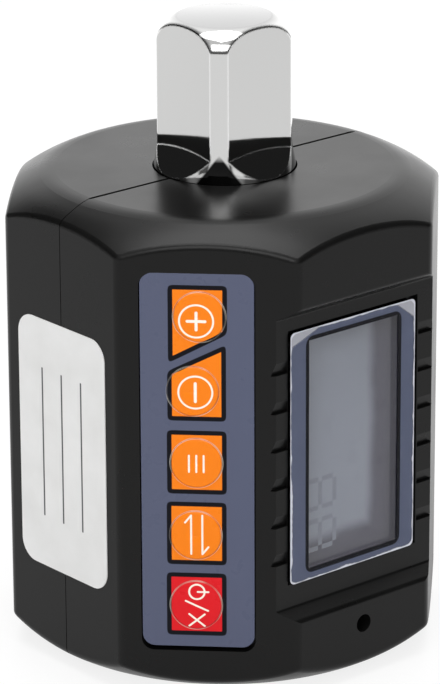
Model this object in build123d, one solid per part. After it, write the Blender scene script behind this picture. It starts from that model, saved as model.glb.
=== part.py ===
"""Digital torque adapter: an octagonal moulded housing in two halves, clamped on a
steel torsion shaft with a female square below and a male square above.

Frame: millimetres, origin on the shaft axis at the housing's base, +Z towards the male
square, -Y out of the display face. The housing halves meet on the plane Y = 0.
"""

from build123d import *
from math import cos, radians, sin, sqrt
import os

os.makedirs("parts", exist_ok=True)

# Housing
ACROSS_FLATS = 50.0
BODY_HEIGHT = 58.0
END_DISC_RADIUS = 21.0
END_DROP_AT_FACE = 1.95
END_DROP_AT_CORNER = 3.7
CORNER_ROUND = 1.6
RIM_ROUND = 1.0
DISC_BLEND = 5.0
WALL = 2.2
FLOOR_TOP = 2.2
CEILING = 54.5
SEAM_GAP = 0.12
LIP_INNER, LIP_OUTER = 22.9, 23.75
LIP_REACH, LIP_ROOT, LIP_CLEARANCE = 1.0, 0.6, 0.1
TOP_HOLE_RADIUS = 8.6
BASE_HOLE_RADIUS = 11.3

# Display recess, lens and the stepped grip notches beside it
RECESS_DEPTH = 1.8
RECESS_LOW, RECESS_HIGH = 11.0, 46.9
RECESS_SLOPE_RUN = 1.2
RECESS_EDGE_ROUND, RECESS_FOOT_ROUND = 0.7, 0.4
DISPLAY_INNER_WALL = 21.2
NOTCH_FIRST, NOTCH_PITCH, NOTCH_COUNT = 16.7, 4.7, 6
NOTCH_RAMP, NOTCH_DEPTH = 1.5, 0.45
POCKET_LEFT, POCKET_RIGHT = -10.35, 9.75
POCKET_LOW, POCKET_HIGH = 13.9, 45.25
POCKET_DEPTH = 0.8
LENS_LEFT, LENS_RIGHT = -10.15, 8.95
LENS_LOW, LENS_HIGH = 14.1, 44.9
LENS_PLATE, LENS_PRINT = 1.0, 0.12
LENS_CORNER = 0.6
FILM_MARGIN, FILM_THICKNESS = 0.1, 0.06
WINDOW_LEFT, WINDOW_RIGHT = -7.4, 6.45
WINDOW_LOW, WINDOW_HIGH = 15.3, 43.55
WINDOW_SIDE_MARGIN, WINDOW_END_MARGIN = 1.9, 0.9
SOUND_HOLE_RADIUS, SOUND_HOLE_HEIGHT = 1.1, 6.84

# Keypad on the face between the label and the display; u runs towards the display
KEYPAD_ANGLE = 225.0
KEYPAD_INNER_WALL = 22.0
OVERLAY_WIDTH, OVERLAY_HEIGHT = 13.1, 46.0
OVERLAY_U, OVERLAY_Z = -1.24, 29.43
OVERLAY_CORNER, OVERLAY_EDGE = 1.5, 0.1
KEYPAD_DEPTH = 1.3
KEYPAD_SIDE_GAP, KEYPAD_FOOT_GAP = 0.13, 0.55
CIRCUIT_THICKNESS, SPACER_THICKNESS = 0.2, 0.75
KEY_RADIUS, KEY_CROWN, KEY_RIM = 3.0, 0.3, 0.42
KEY_HOLE_RADIUS = 3.05
SPACER_HOLE_RADIUS = 3.25
DOME_RADIUS, DOME_HEIGHT, DOME_SHEET = 2.4, 0.34, 0.08
KEYS = {
    "plus_key": (-0.95, 47.2),
    "minus_key": (-1.75, 38.2),
    "mode_key": (-1.38, 29.4),
    "unit_key": (-1.5, 20.45),
    "power_key": (-1.5, 11.7),
}

# Torsion shaft with 12.7 mm square drives
SQUARE = 12.7
SQUARE_TURNED_RADIUS = 7.98
SHAFT_TOP = 75.9
SHAFT_END_DISC, SHAFT_END_ROUND = 4.8, 3.45
RELIEF_TOP, RELIEF_FOOT = 61.0, 57.0
NECK_RADIUS = 6.3
NECK_FOOT, NECK_FILLET = 25.7, 3.0
COLLAR_RADIUS, COLLAR_FLAT, COLLAR_LOW = 13.0, 10.9, 20.3
SOCKET_RADIUS = 11.0
SOCKET_SQUARE, SOCKET_DEPTH, SOCKET_MOUTH = 12.8, 17.0, 0.9
DIMPLE_RADIUS, DIMPLE_DEPTH, DIMPLE_HEIGHT = 2.6, 0.8, 7.5
BALL_RADIUS, BALL_PROUD, BALL_HEIGHT = 2.0, 1.1, 68.4
BALL_HOLE_RADIUS, BALL_HOLE_END = 2.06, 0.3
BALL_TRAVEL = 1.0
SEAL_HEIGHT, SEAL_RING_RADIUS, SEAL_SECTION = 1.4, 10.75, 0.52

# Ribs that cradle the shaft's collar
RIB_THICKNESS = 2.0
LOWER_RIB, UPPER_RIB = 18.1, 25.9
FRONT_RIB_REACH, REAR_RIB_REACH = 14.8, 11.6

# Battery bay in the rear half, closed by a door that wraps two edges of the octagon
CELL_RADIUS, CELL_LENGTH, CELL_EDGE = 5.25, 44.5, 0.4
CELL_NUB, CELL_NUB_RADIUS = 0.8, 1.9
CELL_X, CELL_Y = 5.5, 17.5
BAY_HALF_WIDTH, BAY_WALL = 11.1, 1.0
BAY_FRONT, BAY_LOW, BAY_HIGH = 12.0, 5.0, 52.0
DOOR_HALF_WIDTH, DOOR_LOW, DOOR_HIGH = 12.6, 4.5, 53.0
DOOR_THICKNESS, DOOR_GAP = 2.0, 0.14
ARM_INNER, ARM_OUTER, ARM_FRONT, ARM_BACK = 10.4, 11.0, 20.0, 23.1
ARM_HEIGHTS, ARM_HALF_LENGTH = (16.0, 41.0), 3.0
GROOVE_COUNT, GROOVE_PITCH, GROOVE_SIDE, GROOVE_LENGTH = 5, 1.6, 0.8, 11.0
GROOVE_FROM_TOP = 5.0
PLATE_THICKNESS, PLATE_SPAN, PLATE_REACH = 0.3, 9.8, 3.4
PLATE_TAB, PLATE_TAB_FRONT = 2.0, 12.1
CONTACT_COIL_RADIUS, CONTACT_WIRE, CONTACT_TURNS = 2.4, 0.3, 2
LEAD_X, LEAD_RADIUS, LEAD_END, LEAD_HOLE_RADIUS = 8.2, 0.5, 12.9, 0.7

# Screws that close the housing from behind, on the middle of the diagonal faces
SCREW_X, SCREW_HEIGHTS = 17.5, (7.0, 50.0)
SCREW_SEAT = 9.0
SCREW_HEAD_RADIUS, SCREW_HEAD_HEIGHT, SCREW_HEAD_ROUND = 2.2, 1.7, 0.6
SCREW_CORE_RADIUS, SCREW_LENGTH = 1.1, 14.0
CROSS_HALF_LENGTH, CROSS_HALF_WIDTH, CROSS_DEPTH = 1.3, 0.28, 0.9
FRONT_BOSS_RADIUS, FRONT_BOSS_REACH = 2.6, 16.0
REAR_BOSS_RADIUS, REAR_BOSS_REACH = 3.3, 20.0
PILOT_RADIUS, PILOT_REACH = 1.13, 9.0
CLEARANCE_RADIUS, COUNTERBORE_RADIUS = 1.3, 2.6

# Display electronics, as distances in front of the axis
BOARD_FRONT, BOARD_BACK = 17.0, 15.4
BOARD_HALF_WIDTH, BOARD_LOW, BOARD_HIGH = 13.4, 3.5, 53.2
BOARD_SCREW_X, BOARD_SCREW_HEIGHTS = 11.0, (7.5, 50.0)
BOARD_CORNER, BOARD_HOLE_RADIUS = 1.0, 1.0
BOARD_HEAD_RADIUS, BOARD_HEAD_HEIGHT = 1.7, 1.1
BOARD_CORE_RADIUS, BOARD_CORE_LENGTH = 0.78, 5.0
POST_RADIUS, POST_REACH, POST_BORE_RADIUS, POST_BORE_REACH = 1.9, 22.5, 0.8, 21.0
PANEL_WIDTH, PANEL_HEIGHT, PANEL_BACK, PANEL_FRONT = 18.0, 31.6, 18.7, 20.9
HOLDER_WALL, STRIP_WIDTH, BUZZER_RADIUS = 1.3, 2.0, 4.5
TAIL_U, TAIL_Z, TAIL_WIDTH, TAIL_END = 3.0, 25.0, 8.0, 21.8
TAIL_SLOT_WIDTH, TAIL_SLOT_HEIGHT, TAIL_THICKNESS = 1.2, 9.0, 0.15
FLEX_HEIGHT, FLEX_SOCKET, FLEX_HALF_BAND, FLEX_HALF_WIDTH = 45.5, 0.9, 1.3, 2.0
GAUGE_LOW, GAUGE_HIGH, GAUGE_HALF_WIDTH, GAUGE_FOIL = 35.0, 43.0, 2.8, 0.1

# Sticker across the seam
LABEL_WIDTH, LABEL_HEIGHT, LABEL_CORNER, LABEL_Z = 16.0, 31.0, 2.5, 27.6
LABEL_THICKNESS = 0.12

FACE = ACROSS_FLATS / 2
CORNER = FACE / cos(radians(22.5))
DISPLAY_FLOOR = FACE - RECESS_DEPTH
POCKET_FLOOR = DISPLAY_FLOOR - POCKET_DEPTH
KEYPAD_FLOOR = FACE - KEYPAD_DEPTH
SPACER_BACK = KEYPAD_FLOOR + CIRCUIT_THICKNESS
OVERLAY_BACK = SPACER_BACK + SPACER_THICKNESS
OVERLAY_FRONT = FACE + 0.02
LENS_X, LENS_Z = (LENS_LEFT + LENS_RIGHT) / 2, (LENS_LOW + LENS_HIGH) / 2
LENS_TOP = POCKET_FLOOR + LENS_PLATE
WINDOW_X, WINDOW_Z = (WINDOW_LEFT + WINDOW_RIGHT) / 2, (WINDOW_LOW + WINDOW_HIGH) / 2

display_face = Plane(origin=(0, -FACE, 0), x_dir=(1, 0, 0), z_dir=(0, -1, 0))
label_face = Plane(origin=(-FACE, 0, 0), x_dir=(0, -1, 0), z_dir=(-1, 0, 0))
keypad_normal = Vector(cos(radians(KEYPAD_ANGLE)), sin(radians(KEYPAD_ANGLE)), 0)
keypad_axis = Plane(origin=(0, 0, 0), x_dir=(-keypad_normal.Y, keypad_normal.X, 0), z_dir=keypad_normal)


def block(low, high):
    """Box between its lowest and its highest corner."""
    size = [b - a for a, b in zip(low, high)]
    return Pos(*low) * Box(*size, align=(Align.MIN, Align.MIN, Align.MIN))


def rod(radius, low, high, x=0.0, y=0.0):
    """Upright cylinder between two heights."""
    return Pos(x, y, low) * Cylinder(radius, high - low, align=(Align.CENTER, Align.CENTER, Align.MIN))


def rod_y(radius, y_low, y_high, x=0.0, z=0.0):
    """Cylinder along Y between two depths."""
    turned = Rot(-90, 0, 0) * Cylinder(radius, y_high - y_low, align=(Align.CENTER, Align.CENTER, Align.MIN))
    return Pos(x, y_low, z) * turned


def at_housing_screws(shape):
    """Repeat a shape at the four screws that close the housing."""
    return [Pos(x, 0, z) * shape for z in SCREW_HEIGHTS for x in (-SCREW_X, SCREW_X)]


def at_board_screws(shape):
    """Repeat a shape at the four screws of the main board."""
    return [Pos(x, 0, z) * shape for z in BOARD_SCREW_HEIGHTS for x in (-BOARD_SCREW_X, BOARD_SCREW_X)]


def at_both_leads(shape):
    """Repeat a shape at the two wires under the upper contact plates."""
    return [Pos(x, 0, BAY_HIGH - PLATE_THICKNESS - LEAD_RADIUS) * shape for x in (-LEAD_X, LEAD_X)]


def on_keypad(sketch, u, z, inner, outer):
    """Extrude a sketch centred on (u, z) of the keypad face between two distances from the axis."""
    return extrude(keypad_axis.offset(inner) * (Pos(u, z) * sketch), outer - inner)


def on_display(sketch, x, z, inner, outer):
    """Extrude a sketch centred on (x, z) of the display face between two distances from the axis."""
    return extrude(display_face.offset(inner - FACE) * (Pos(x, z) * sketch), outer - inner)


def octagon(flat, corner_round=0.0):
    """Octagon sketch with flats square to X and Y."""
    shape = RegularPolygon(flat, 8, major_radius=False, rotation=22.5)
    return fillet(shape.vertices(), corner_round) if corner_round else shape


def turned_ends():
    """Solid of revolution whose two convex end edges turn down the octagon's corners."""
    def edge(end, sign):
        return ThreePointArc(
            (END_DISC_RADIUS, end),
            (FACE, end - sign * END_DROP_AT_FACE),
            (CORNER, end - sign * END_DROP_AT_CORNER),
        )

    outline = [
        Line((0, 0), (END_DISC_RADIUS, 0)),
        edge(0, -1),
        Line((CORNER, END_DROP_AT_CORNER), (CORNER, BODY_HEIGHT - END_DROP_AT_CORNER)),
        edge(BODY_HEIGHT, 1),
        Line((END_DISC_RADIUS, BODY_HEIGHT), (0, BODY_HEIGHT)),
        Line((0, BODY_HEIGHT), (0, 0)),
    ]
    section = make_face(outline)
    disc_edges = [v for v in section.vertices() if abs(v.X - END_DISC_RADIUS) < 1e-6]
    return revolve(Plane.XZ * fillet(disc_edges, DISC_BLEND), Axis.Z)


def housing_form():
    """Outer form of the closed housing, rounded where the turned ends meet the flats."""
    form = extrude(octagon(FACE, CORNER_ROUND), BODY_HEIGHT) & turned_ends()
    rims = [e for e in form.edges() if e.geom_type not in (GeomType.LINE, GeomType.CIRCLE)]
    return fillet(rims, RIM_ROUND)


def housing_cavity():
    """Inner space of the closed housing, nearer the axis behind the display and the keypad."""
    height = CEILING - FLOOR_TOP
    space = Pos(0, 0, FLOOR_TOP) * extrude(octagon(FACE - WALL), height)
    space -= block((-FACE, -FACE, FLOOR_TOP), (FACE, -DISPLAY_INNER_WALL, CEILING))
    keypad_wall = Rectangle(ACROSS_FLATS, 2 * CEILING)
    return space - on_keypad(keypad_wall, 0, CEILING, KEYPAD_INNER_WALL, FACE)


def display_recess():
    """Trough across the display face, its sloped end walls rounded at edge and foot."""
    outside, past = 1.0, 2.0
    profile = Polyline(
        (-DISPLAY_FLOOR, RECESS_LOW),
        (-DISPLAY_FLOOR, RECESS_HIGH),
        (-FACE, RECESS_HIGH + RECESS_SLOPE_RUN),
        (-FACE, RECESS_HIGH + RECESS_SLOPE_RUN + past),
        (-FACE - outside, RECESS_HIGH + RECESS_SLOPE_RUN + past),
        (-FACE - outside, RECESS_LOW - RECESS_SLOPE_RUN - past),
        (-FACE, RECESS_LOW - RECESS_SLOPE_RUN - past),
        (-FACE, RECESS_LOW - RECESS_SLOPE_RUN),
        close=True,
    )
    section = make_face(profile)
    feet = [v for v in section.vertices() if abs(v.X + DISPLAY_FLOOR) < 1e-6]
    section = fillet(feet, RECESS_FOOT_ROUND)
    edges = [v for v in section.vertices() if abs(v.X + FACE) < 1e-6]
    edges = sorted(edges, key=lambda v: abs(v.Y - (RECESS_LOW + RECESS_HIGH) / 2))[:2]
    section = fillet(edges, RECESS_EDGE_ROUND)
    return extrude(Plane.YZ * section, FACE, both=True)


def grip_notches():
    """Saw-tooth notches down both sides of the recess, each with a ledge that faces up."""
    tooth = Polyline(
        (-DISPLAY_FLOOR - 1, 0),
        (-DISPLAY_FLOOR + NOTCH_DEPTH, 0),
        (-DISPLAY_FLOOR, NOTCH_RAMP),
        (-DISPLAY_FLOOR - 1, NOTCH_RAMP),
        close=True,
    )
    across = extrude(Plane.YZ * make_face(tooth), FACE, both=True)
    across -= block((POCKET_LEFT - 0.05, -FACE - 1, -1), (POCKET_RIGHT + 0.15, 0, NOTCH_RAMP + 1))
    heights = [NOTCH_FIRST + k * NOTCH_PITCH for k in range(NOTCH_COUNT)]
    return [Pos(0, 0, z) * across for z in heights]


def display_cuts():
    """Lens pocket, viewing window and sound hole through the display face."""
    pocket = Rectangle(POCKET_RIGHT - POCKET_LEFT, POCKET_HIGH - POCKET_LOW)
    window = window_outline(WINDOW_SIDE_MARGIN, WINDOW_END_MARGIN)
    pocket_x, pocket_z = (POCKET_LEFT + POCKET_RIGHT) / 2, (POCKET_LOW + POCKET_HIGH) / 2
    return [
        on_display(pocket, pocket_x, pocket_z, POCKET_FLOOR, FACE),
        on_display(window, WINDOW_X, WINDOW_Z, DISPLAY_INNER_WALL - 1, FACE),
        rod_y(SOUND_HOLE_RADIUS, -FACE - 1, -DISPLAY_INNER_WALL + 1, z=SOUND_HOLE_HEIGHT),
    ]


def keypad_cuts():
    """Seat for the membrane keypad and the slot that its tail passes through."""
    width = OVERLAY_WIDTH + 2 * KEYPAD_SIDE_GAP
    height = OVERLAY_HEIGHT + KEYPAD_SIDE_GAP + KEYPAD_FOOT_GAP
    seat = RectangleRounded(width, height, OVERLAY_CORNER)
    seat_z = OVERLAY_Z + (KEYPAD_SIDE_GAP - KEYPAD_FOOT_GAP) / 2
    slot = Rectangle(TAIL_SLOT_WIDTH, TAIL_SLOT_HEIGHT)
    return [
        on_keypad(seat, OVERLAY_U, seat_z, KEYPAD_FLOOR, FACE + 2),
        on_keypad(slot, TAIL_U, TAIL_Z, KEYPAD_INNER_WALL - 2, FACE),
    ]


def shaft_ribs(reach, side):
    """Two cross ribs of one half, bored for the socket end and for the neck."""
    ribs = Part()
    for low, bore in ((LOWER_RIB, SOCKET_RADIUS + 0.15), (UPPER_RIB, NECK_RADIUS + NECK_FILLET + 0.4)):
        y_low, y_high = (-reach, 0) if side < 0 else (0, reach)
        rib = block((-FACE, y_low, low), (FACE, y_high, low + RIB_THICKNESS))
        ribs += rib - rod(bore, low - 1, low + RIB_THICKNESS + 1)
    return ribs


def seam_lip(clearance):
    """Band inside each side wall that crosses the seam, larger all round by a clearance."""
    low, high = END_DROP_AT_CORNER + 1, BODY_HEIGHT - END_DROP_AT_CORNER - 1
    band = block((LIP_INNER - clearance, -LIP_ROOT, low), (LIP_OUTER + clearance, LIP_REACH + clearance, high))
    return [band, mirror(band, about=Plane.YZ)]


def front_housing():
    """Front half: display face, keypad face, board posts and screw posts."""
    form = housing_form()
    half = block((-30, -30, -1), (30, -SEAM_GAP / 2, BODY_HEIGHT + 1))
    shell = form - housing_cavity()
    shell += shaft_ribs(FRONT_RIB_REACH, -1)
    shell += at_housing_screws(rod_y(FRONT_BOSS_RADIUS, -FRONT_BOSS_REACH, 0))
    shell += at_board_screws(rod_y(POST_RADIUS, -POST_REACH, -BOARD_FRONT))
    shell = (shell & form) & half
    shell += seam_lip(0)
    shell -= at_housing_screws(rod_y(PILOT_RADIUS, -PILOT_REACH, 1))
    shell -= at_board_screws(rod_y(POST_BORE_RADIUS, -POST_BORE_REACH, -BOARD_BACK))
    shell -= rod(TOP_HOLE_RADIUS, CEILING - 1, BODY_HEIGHT + 1)
    shell -= rod(BASE_HOLE_RADIUS, -1, FLOOR_TOP + 1)
    shell -= display_recess()
    shell -= grip_notches()
    shell -= display_cuts()
    shell -= keypad_cuts()
    return shell


def door_space(gap):
    """Space of the battery door, wider by a gap on its four edges and behind."""
    half_width = DOOR_HALF_WIDTH - DOOR_GAP + gap
    low, high = DOOR_LOW + DOOR_GAP - gap, DOOR_HIGH - DOOR_GAP + gap
    ring = extrude(octagon(FACE + 2), BODY_HEIGHT) - extrude(octagon(FACE - DOOR_THICKNESS - gap), BODY_HEIGHT)
    return ring & block((-half_width, 15, low), (half_width, 30, high))


def rear_housing():
    """Rear half: battery bay, door opening and counterbored screw holes."""
    form = housing_form()
    half = block((-30, SEAM_GAP / 2, -1), (30, 30, BODY_HEIGHT + 1))
    shell = form - housing_cavity()
    shell += shaft_ribs(REAR_RIB_REACH, 1)
    outer = BAY_HALF_WIDTH + BAY_WALL
    shell += block((-outer, BAY_FRONT - 0.8, FLOOR_TOP - 0.5), (outer, FACE, CEILING + 0.5))
    shell += at_housing_screws(rod_y(REAR_BOSS_RADIUS, 0, REAR_BOSS_REACH))
    shell = (shell & form) & half
    shell -= seam_lip(LIP_CLEARANCE)
    shell -= at_housing_screws(rod_y(CLEARANCE_RADIUS, -1, SCREW_SEAT + 1))
    shell -= at_housing_screws(rod_y(COUNTERBORE_RADIUS, SCREW_SEAT, ACROSS_FLATS))
    shell -= rod(TOP_HOLE_RADIUS, CEILING - 1, BODY_HEIGHT + 1)
    shell -= rod(BASE_HOLE_RADIUS, -1, FLOOR_TOP + 1)
    shell -= block((-BAY_HALF_WIDTH, BAY_FRONT, BAY_LOW), (BAY_HALF_WIDTH, FACE, BAY_HIGH))
    shell -= at_both_leads(rod_y(LEAD_HOLE_RADIUS, BAY_FRONT - BAY_WALL - 1, BAY_FRONT + 1))
    return shell - door_space(DOOR_GAP)


def battery_door():
    """Door: a bent plate with grip grooves outside and two pairs of guide arms inside."""
    form = housing_form()
    door = door_space(0) & form
    for z in ARM_HEIGHTS:
        arm = block((ARM_INNER, ARM_FRONT, z - ARM_HALF_LENGTH), (ARM_OUTER, ARM_BACK, z + ARM_HALF_LENGTH))
        door += [arm, mirror(arm, about=Plane.YZ)]
    groove = Rot(45, 0, 0) * Box(GROOVE_LENGTH, GROOVE_SIDE, GROOVE_SIDE)
    top = DOOR_HIGH - GROOVE_FROM_TOP
    return door - [Pos(0, FACE, top - GROOVE_PITCH * k) * groove for k in range(GROOVE_COUNT)]


def torque_shaft():
    """One steel bar: female square, keyed collar, thin torsion neck and male square."""
    low_end = [
        Line((0, 0), (SOCKET_RADIUS - 0.6, 0)),
        Line((SOCKET_RADIUS - 0.6, 0), (SOCKET_RADIUS, 0.6)),
        Line((SOCKET_RADIUS, 0.6), (SOCKET_RADIUS, COLLAR_LOW)),
        Line((SOCKET_RADIUS, COLLAR_LOW), (COLLAR_RADIUS, COLLAR_LOW)),
        Line((COLLAR_RADIUS, COLLAR_LOW), (COLLAR_RADIUS, NECK_FOOT)),
        Line((COLLAR_RADIUS, NECK_FOOT), (NECK_RADIUS + NECK_FILLET, NECK_FOOT)),
        RadiusArc(
            (NECK_RADIUS + NECK_FILLET, NECK_FOOT), (NECK_RADIUS, NECK_FOOT + NECK_FILLET), NECK_FILLET
        ),
    ]
    drop = SHAFT_END_ROUND
    shoulder_z = SHAFT_TOP - drop + sqrt(drop**2 - (SQUARE_TURNED_RADIUS - SHAFT_END_DISC) ** 2)
    relief = NECK_RADIUS + 0.14
    high_end = [
        Line((NECK_RADIUS, NECK_FOOT + NECK_FILLET), (NECK_RADIUS, RELIEF_FOOT)),
        ThreePointArc(
            (NECK_RADIUS, RELIEF_FOOT),
            (relief + 0.26, (RELIEF_TOP + RELIEF_FOOT) / 2),
            (SQUARE_TURNED_RADIUS, RELIEF_TOP),
        ),
        Line((SQUARE_TURNED_RADIUS, RELIEF_TOP), (SQUARE_TURNED_RADIUS, shoulder_z)),
        RadiusArc((SQUARE_TURNED_RADIUS, shoulder_z), (SHAFT_END_DISC, SHAFT_TOP), -drop),
        Line((SHAFT_END_DISC, SHAFT_TOP), (0, SHAFT_TOP)),
        Line((0, SHAFT_TOP), (0, 0)),
    ]
    bar = revolve(Plane.XZ * make_face(low_end + high_end), Axis.Z)
    milled = block((-SQUARE / 2, -SQUARE / 2, RELIEF_FOOT - 5), (SQUARE / 2, SQUARE / 2, SHAFT_TOP + 1))
    keyed = block((-20, -COLLAR_FLAT, COLLAR_LOW - 1), (20, COLLAR_FLAT, NECK_FOOT + 1))
    below = block((-20, -20, -1), (20, 20, COLLAR_LOW))
    middle = block((-20, -20, NECK_FOOT), (20, 20, RELIEF_FOOT - 2))
    bar = (bar & milled) + (bar & middle) + (bar & keyed) + (bar & below)
    socket = extrude(RectangleRounded(SOCKET_SQUARE, SOCKET_SQUARE, 0.8), SOCKET_DEPTH)
    mouth = Pos(0, 0, -0.01) * extrude(
        Rectangle(SOCKET_SQUARE + 2 * SOCKET_MOUTH, SOCKET_SQUARE + 2 * SOCKET_MOUTH), 1.0, taper=42
    )
    ball = Rot(0, 90, 0) * Sphere(DIMPLE_RADIUS)
    dimple = Pos(SOCKET_SQUARE / 2 + DIMPLE_DEPTH - DIMPLE_RADIUS, 0, DIMPLE_HEIGHT) * ball
    dimples = [Rot(0, 0, 90 * k) * dimple for k in range(4)]
    ring = rod(SOCKET_RADIUS + 1, SEAL_HEIGHT - 0.55, SEAL_HEIGHT + 0.55)
    groove = ring - rod(SEAL_RING_RADIUS - SEAL_SECTION - 0.03, 0, SEAL_HEIGHT + 1)
    bar = bar - socket - mouth - dimples - groove
    return bar - rod_y(BALL_HOLE_RADIUS, BALL_HOLE_END, SQUARE, z=BALL_HEIGHT)


def detent_ball():
    """Ball that stands out of the rear flat of the male square."""
    return Pos(0, SQUARE / 2 + BALL_PROUD - BALL_RADIUS, BALL_HEIGHT) * Sphere(BALL_RADIUS)


def coil(radius, wire, height, turns):
    """Compression spring standing on the origin."""
    path = Pos(0, 0, wire) * Helix(pitch=(height - 2 * wire) / turns, height=height - 2 * wire, radius=radius)
    return sweep(Plane(path @ 0, z_dir=path % 0) * Circle(wire), path=path)


def detent_spring():
    """Spring behind the ball, at the length it has with the ball pressed in."""
    length = SQUARE / 2 + BALL_PROUD - 2 * BALL_RADIUS - BALL_TRAVEL - BALL_HOLE_END - 0.05
    return Pos(0, BALL_HOLE_END, BALL_HEIGHT) * Rot(-90, 0, 0) * coil(1.45, 0.2, length, 3)


def upper_seal():
    """Felt dust ring round the neck, under the hole in the top."""
    return rod(TOP_HOLE_RADIUS + 1.6, CEILING - 1.9, CEILING) - rod(NECK_RADIUS + 0.05, 50, 60)


def lower_seal():
    """Rubber ring in the groove of the socket end."""
    return Pos(0, 0, SEAL_HEIGHT) * Torus(SEAL_RING_RADIUS, SEAL_SECTION)


def strain_gauges():
    """Four foil gauges bonded round the neck."""
    foil = rod(NECK_RADIUS + GAUGE_FOIL, GAUGE_LOW, GAUGE_HIGH) - rod(NECK_RADIUS, GAUGE_LOW, GAUGE_HIGH)
    patch = foil & block((0, -GAUGE_HALF_WIDTH, GAUGE_LOW), (FACE, GAUGE_HALF_WIDTH, GAUGE_HIGH))
    return Compound([Rot(0, 0, 45 + 90 * k) * patch for k in range(4)])


def gauge_flex():
    """Flexible circuit that joins the gauges and runs to the main board."""
    low, high = FLEX_HEIGHT - FLEX_HALF_BAND, FLEX_HEIGHT + FLEX_HALF_BAND
    band = rod(NECK_RADIUS + 0.25, low, high) - rod(NECK_RADIUS + 0.02, low, high)
    tongue_low = (-FLEX_HALF_WIDTH, FLEX_SOCKET - BOARD_BACK, FLEX_HEIGHT - 0.1)
    return band + block(tongue_low, (FLEX_HALF_WIDTH, -NECK_RADIUS - 0.1, FLEX_HEIGHT + 0.05))


def lens_outline(margin=0.0):
    """Rounded outline of the display lens, larger by a margin."""
    width, height = LENS_RIGHT - LENS_LEFT + 2 * margin, LENS_HIGH - LENS_LOW + 2 * margin
    return RectangleRounded(width, height, LENS_CORNER)


def window_outline(side_margin=0.0, end_margin=0.0):
    """Outline of the viewing window, larger by a margin at its sides and at its ends."""
    return Rectangle(WINDOW_RIGHT - WINDOW_LEFT + 2 * side_margin, WINDOW_HIGH - WINDOW_LOW + 2 * end_margin)


def lcd_lens():
    """Clear plate in the pocket of the display face."""
    return on_display(lens_outline(), LENS_X, LENS_Z, POCKET_FLOOR, LENS_TOP)


def lens_border():
    """Printed border on the lens, open over the display."""
    opening = Pos(WINDOW_X - LENS_X, WINDOW_Z - LENS_Z) * window_outline()
    return on_display(lens_outline() - opening, LENS_X, LENS_Z, LENS_TOP, LENS_TOP + LENS_PRINT)


def lens_film():
    """Clear protective film laid over the lens."""
    back = LENS_TOP + LENS_PRINT
    return on_display(lens_outline(FILM_MARGIN), LENS_X, LENS_Z, back, back + FILM_THICKNESS)


def lcd_panel():
    """Display glass."""
    return on_display(Rectangle(PANEL_WIDTH, PANEL_HEIGHT), WINDOW_X, WINDOW_Z, PANEL_BACK, PANEL_FRONT)


def lcd_holder():
    """Frame that holds the display glass against the housing."""
    frame = Rectangle(PANEL_WIDTH + 2 * HOLDER_WALL, PANEL_HEIGHT + 2 * HOLDER_WALL)
    seat = Rectangle(PANEL_WIDTH + 0.2, PANEL_HEIGHT + 0.2)
    holder = on_display(frame, WINDOW_X, WINDOW_Z, BOARD_FRONT, DISPLAY_INNER_WALL)
    holder -= on_display(seat, WINDOW_X, WINDOW_Z, BOARD_FRONT, PANEL_FRONT)
    window = window_outline(WINDOW_SIDE_MARGIN, WINDOW_END_MARGIN)
    holder -= on_display(window, WINDOW_X, WINDOW_Z, BOARD_FRONT, FACE)
    return holder & housing_cavity()


def contact_strips():
    """Two elastomer strips that join the display glass to the main board."""
    strip = Rectangle(STRIP_WIDTH, PANEL_HEIGHT - 3)
    offset = (PANEL_WIDTH - STRIP_WIDTH) / 2 - 0.3
    sides = (WINDOW_X - offset, WINDOW_X + offset)
    return Compound([on_display(strip, x, WINDOW_Z, BOARD_FRONT, PANEL_BACK) for x in sides])


def main_board():
    """Circuit board behind the display."""
    outline = RectangleRounded(2 * BOARD_HALF_WIDTH, BOARD_HIGH - BOARD_LOW, BOARD_CORNER)
    middle = (BOARD_LOW + BOARD_HIGH) / 2
    board = on_display(outline, 0, middle, BOARD_BACK, BOARD_FRONT)
    return board - at_board_screws(rod_y(BOARD_HOLE_RADIUS, -FACE, 0))


def board_components():
    """Processor, converter, connectors and crystal soldered to the main board."""
    def package(x_low, x_high, z_low, z_high, height):
        return block((x_low, -BOARD_BACK, z_low), (x_high, height - BOARD_BACK, z_high))

    processor = package(-8, -1, 32, 39, 1.1)
    converter = package(3, 8, 33, 37, 1.4)
    gauge_socket = package(-4, 4, FLEX_HEIGHT - 1, FLEX_HEIGHT + 1, FLEX_SOCKET)
    crystal = package(4, 9, 9, 12, 1.6)
    regulator = package(-9, -5, 9, 14, 1.2)
    tail_low, tail_high = TAIL_Z - TAIL_WIDTH / 2 - 0.5, TAIL_Z + TAIL_WIDTH / 2 + 0.5
    tail_socket = block((-13.1, -BOARD_FRONT - 0.65, tail_low), (-11.2, -BOARD_FRONT, tail_high))
    return Compound([processor, converter, gauge_socket, crystal, regulator, tail_socket])


def board_screws():
    """Four small screws that hold the main board on its posts."""
    seat = -BOARD_BACK
    head = rod_y(BOARD_HEAD_RADIUS, seat, seat + BOARD_HEAD_HEIGHT)
    return Compound(at_board_screws(head + rod_y(BOARD_CORE_RADIUS, seat - BOARD_CORE_LENGTH, seat)))


def buzzer():
    """Round sounder behind the hole under the display."""
    front = -DISPLAY_INNER_WALL + 0.1
    case = rod_y(BUZZER_RADIUS, front, -BOARD_FRONT, z=SOUND_HOLE_HEIGHT)
    return case - rod_y(SOUND_HOLE_RADIUS, front - 1, front + 0.8, z=SOUND_HOLE_HEIGHT)


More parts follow.
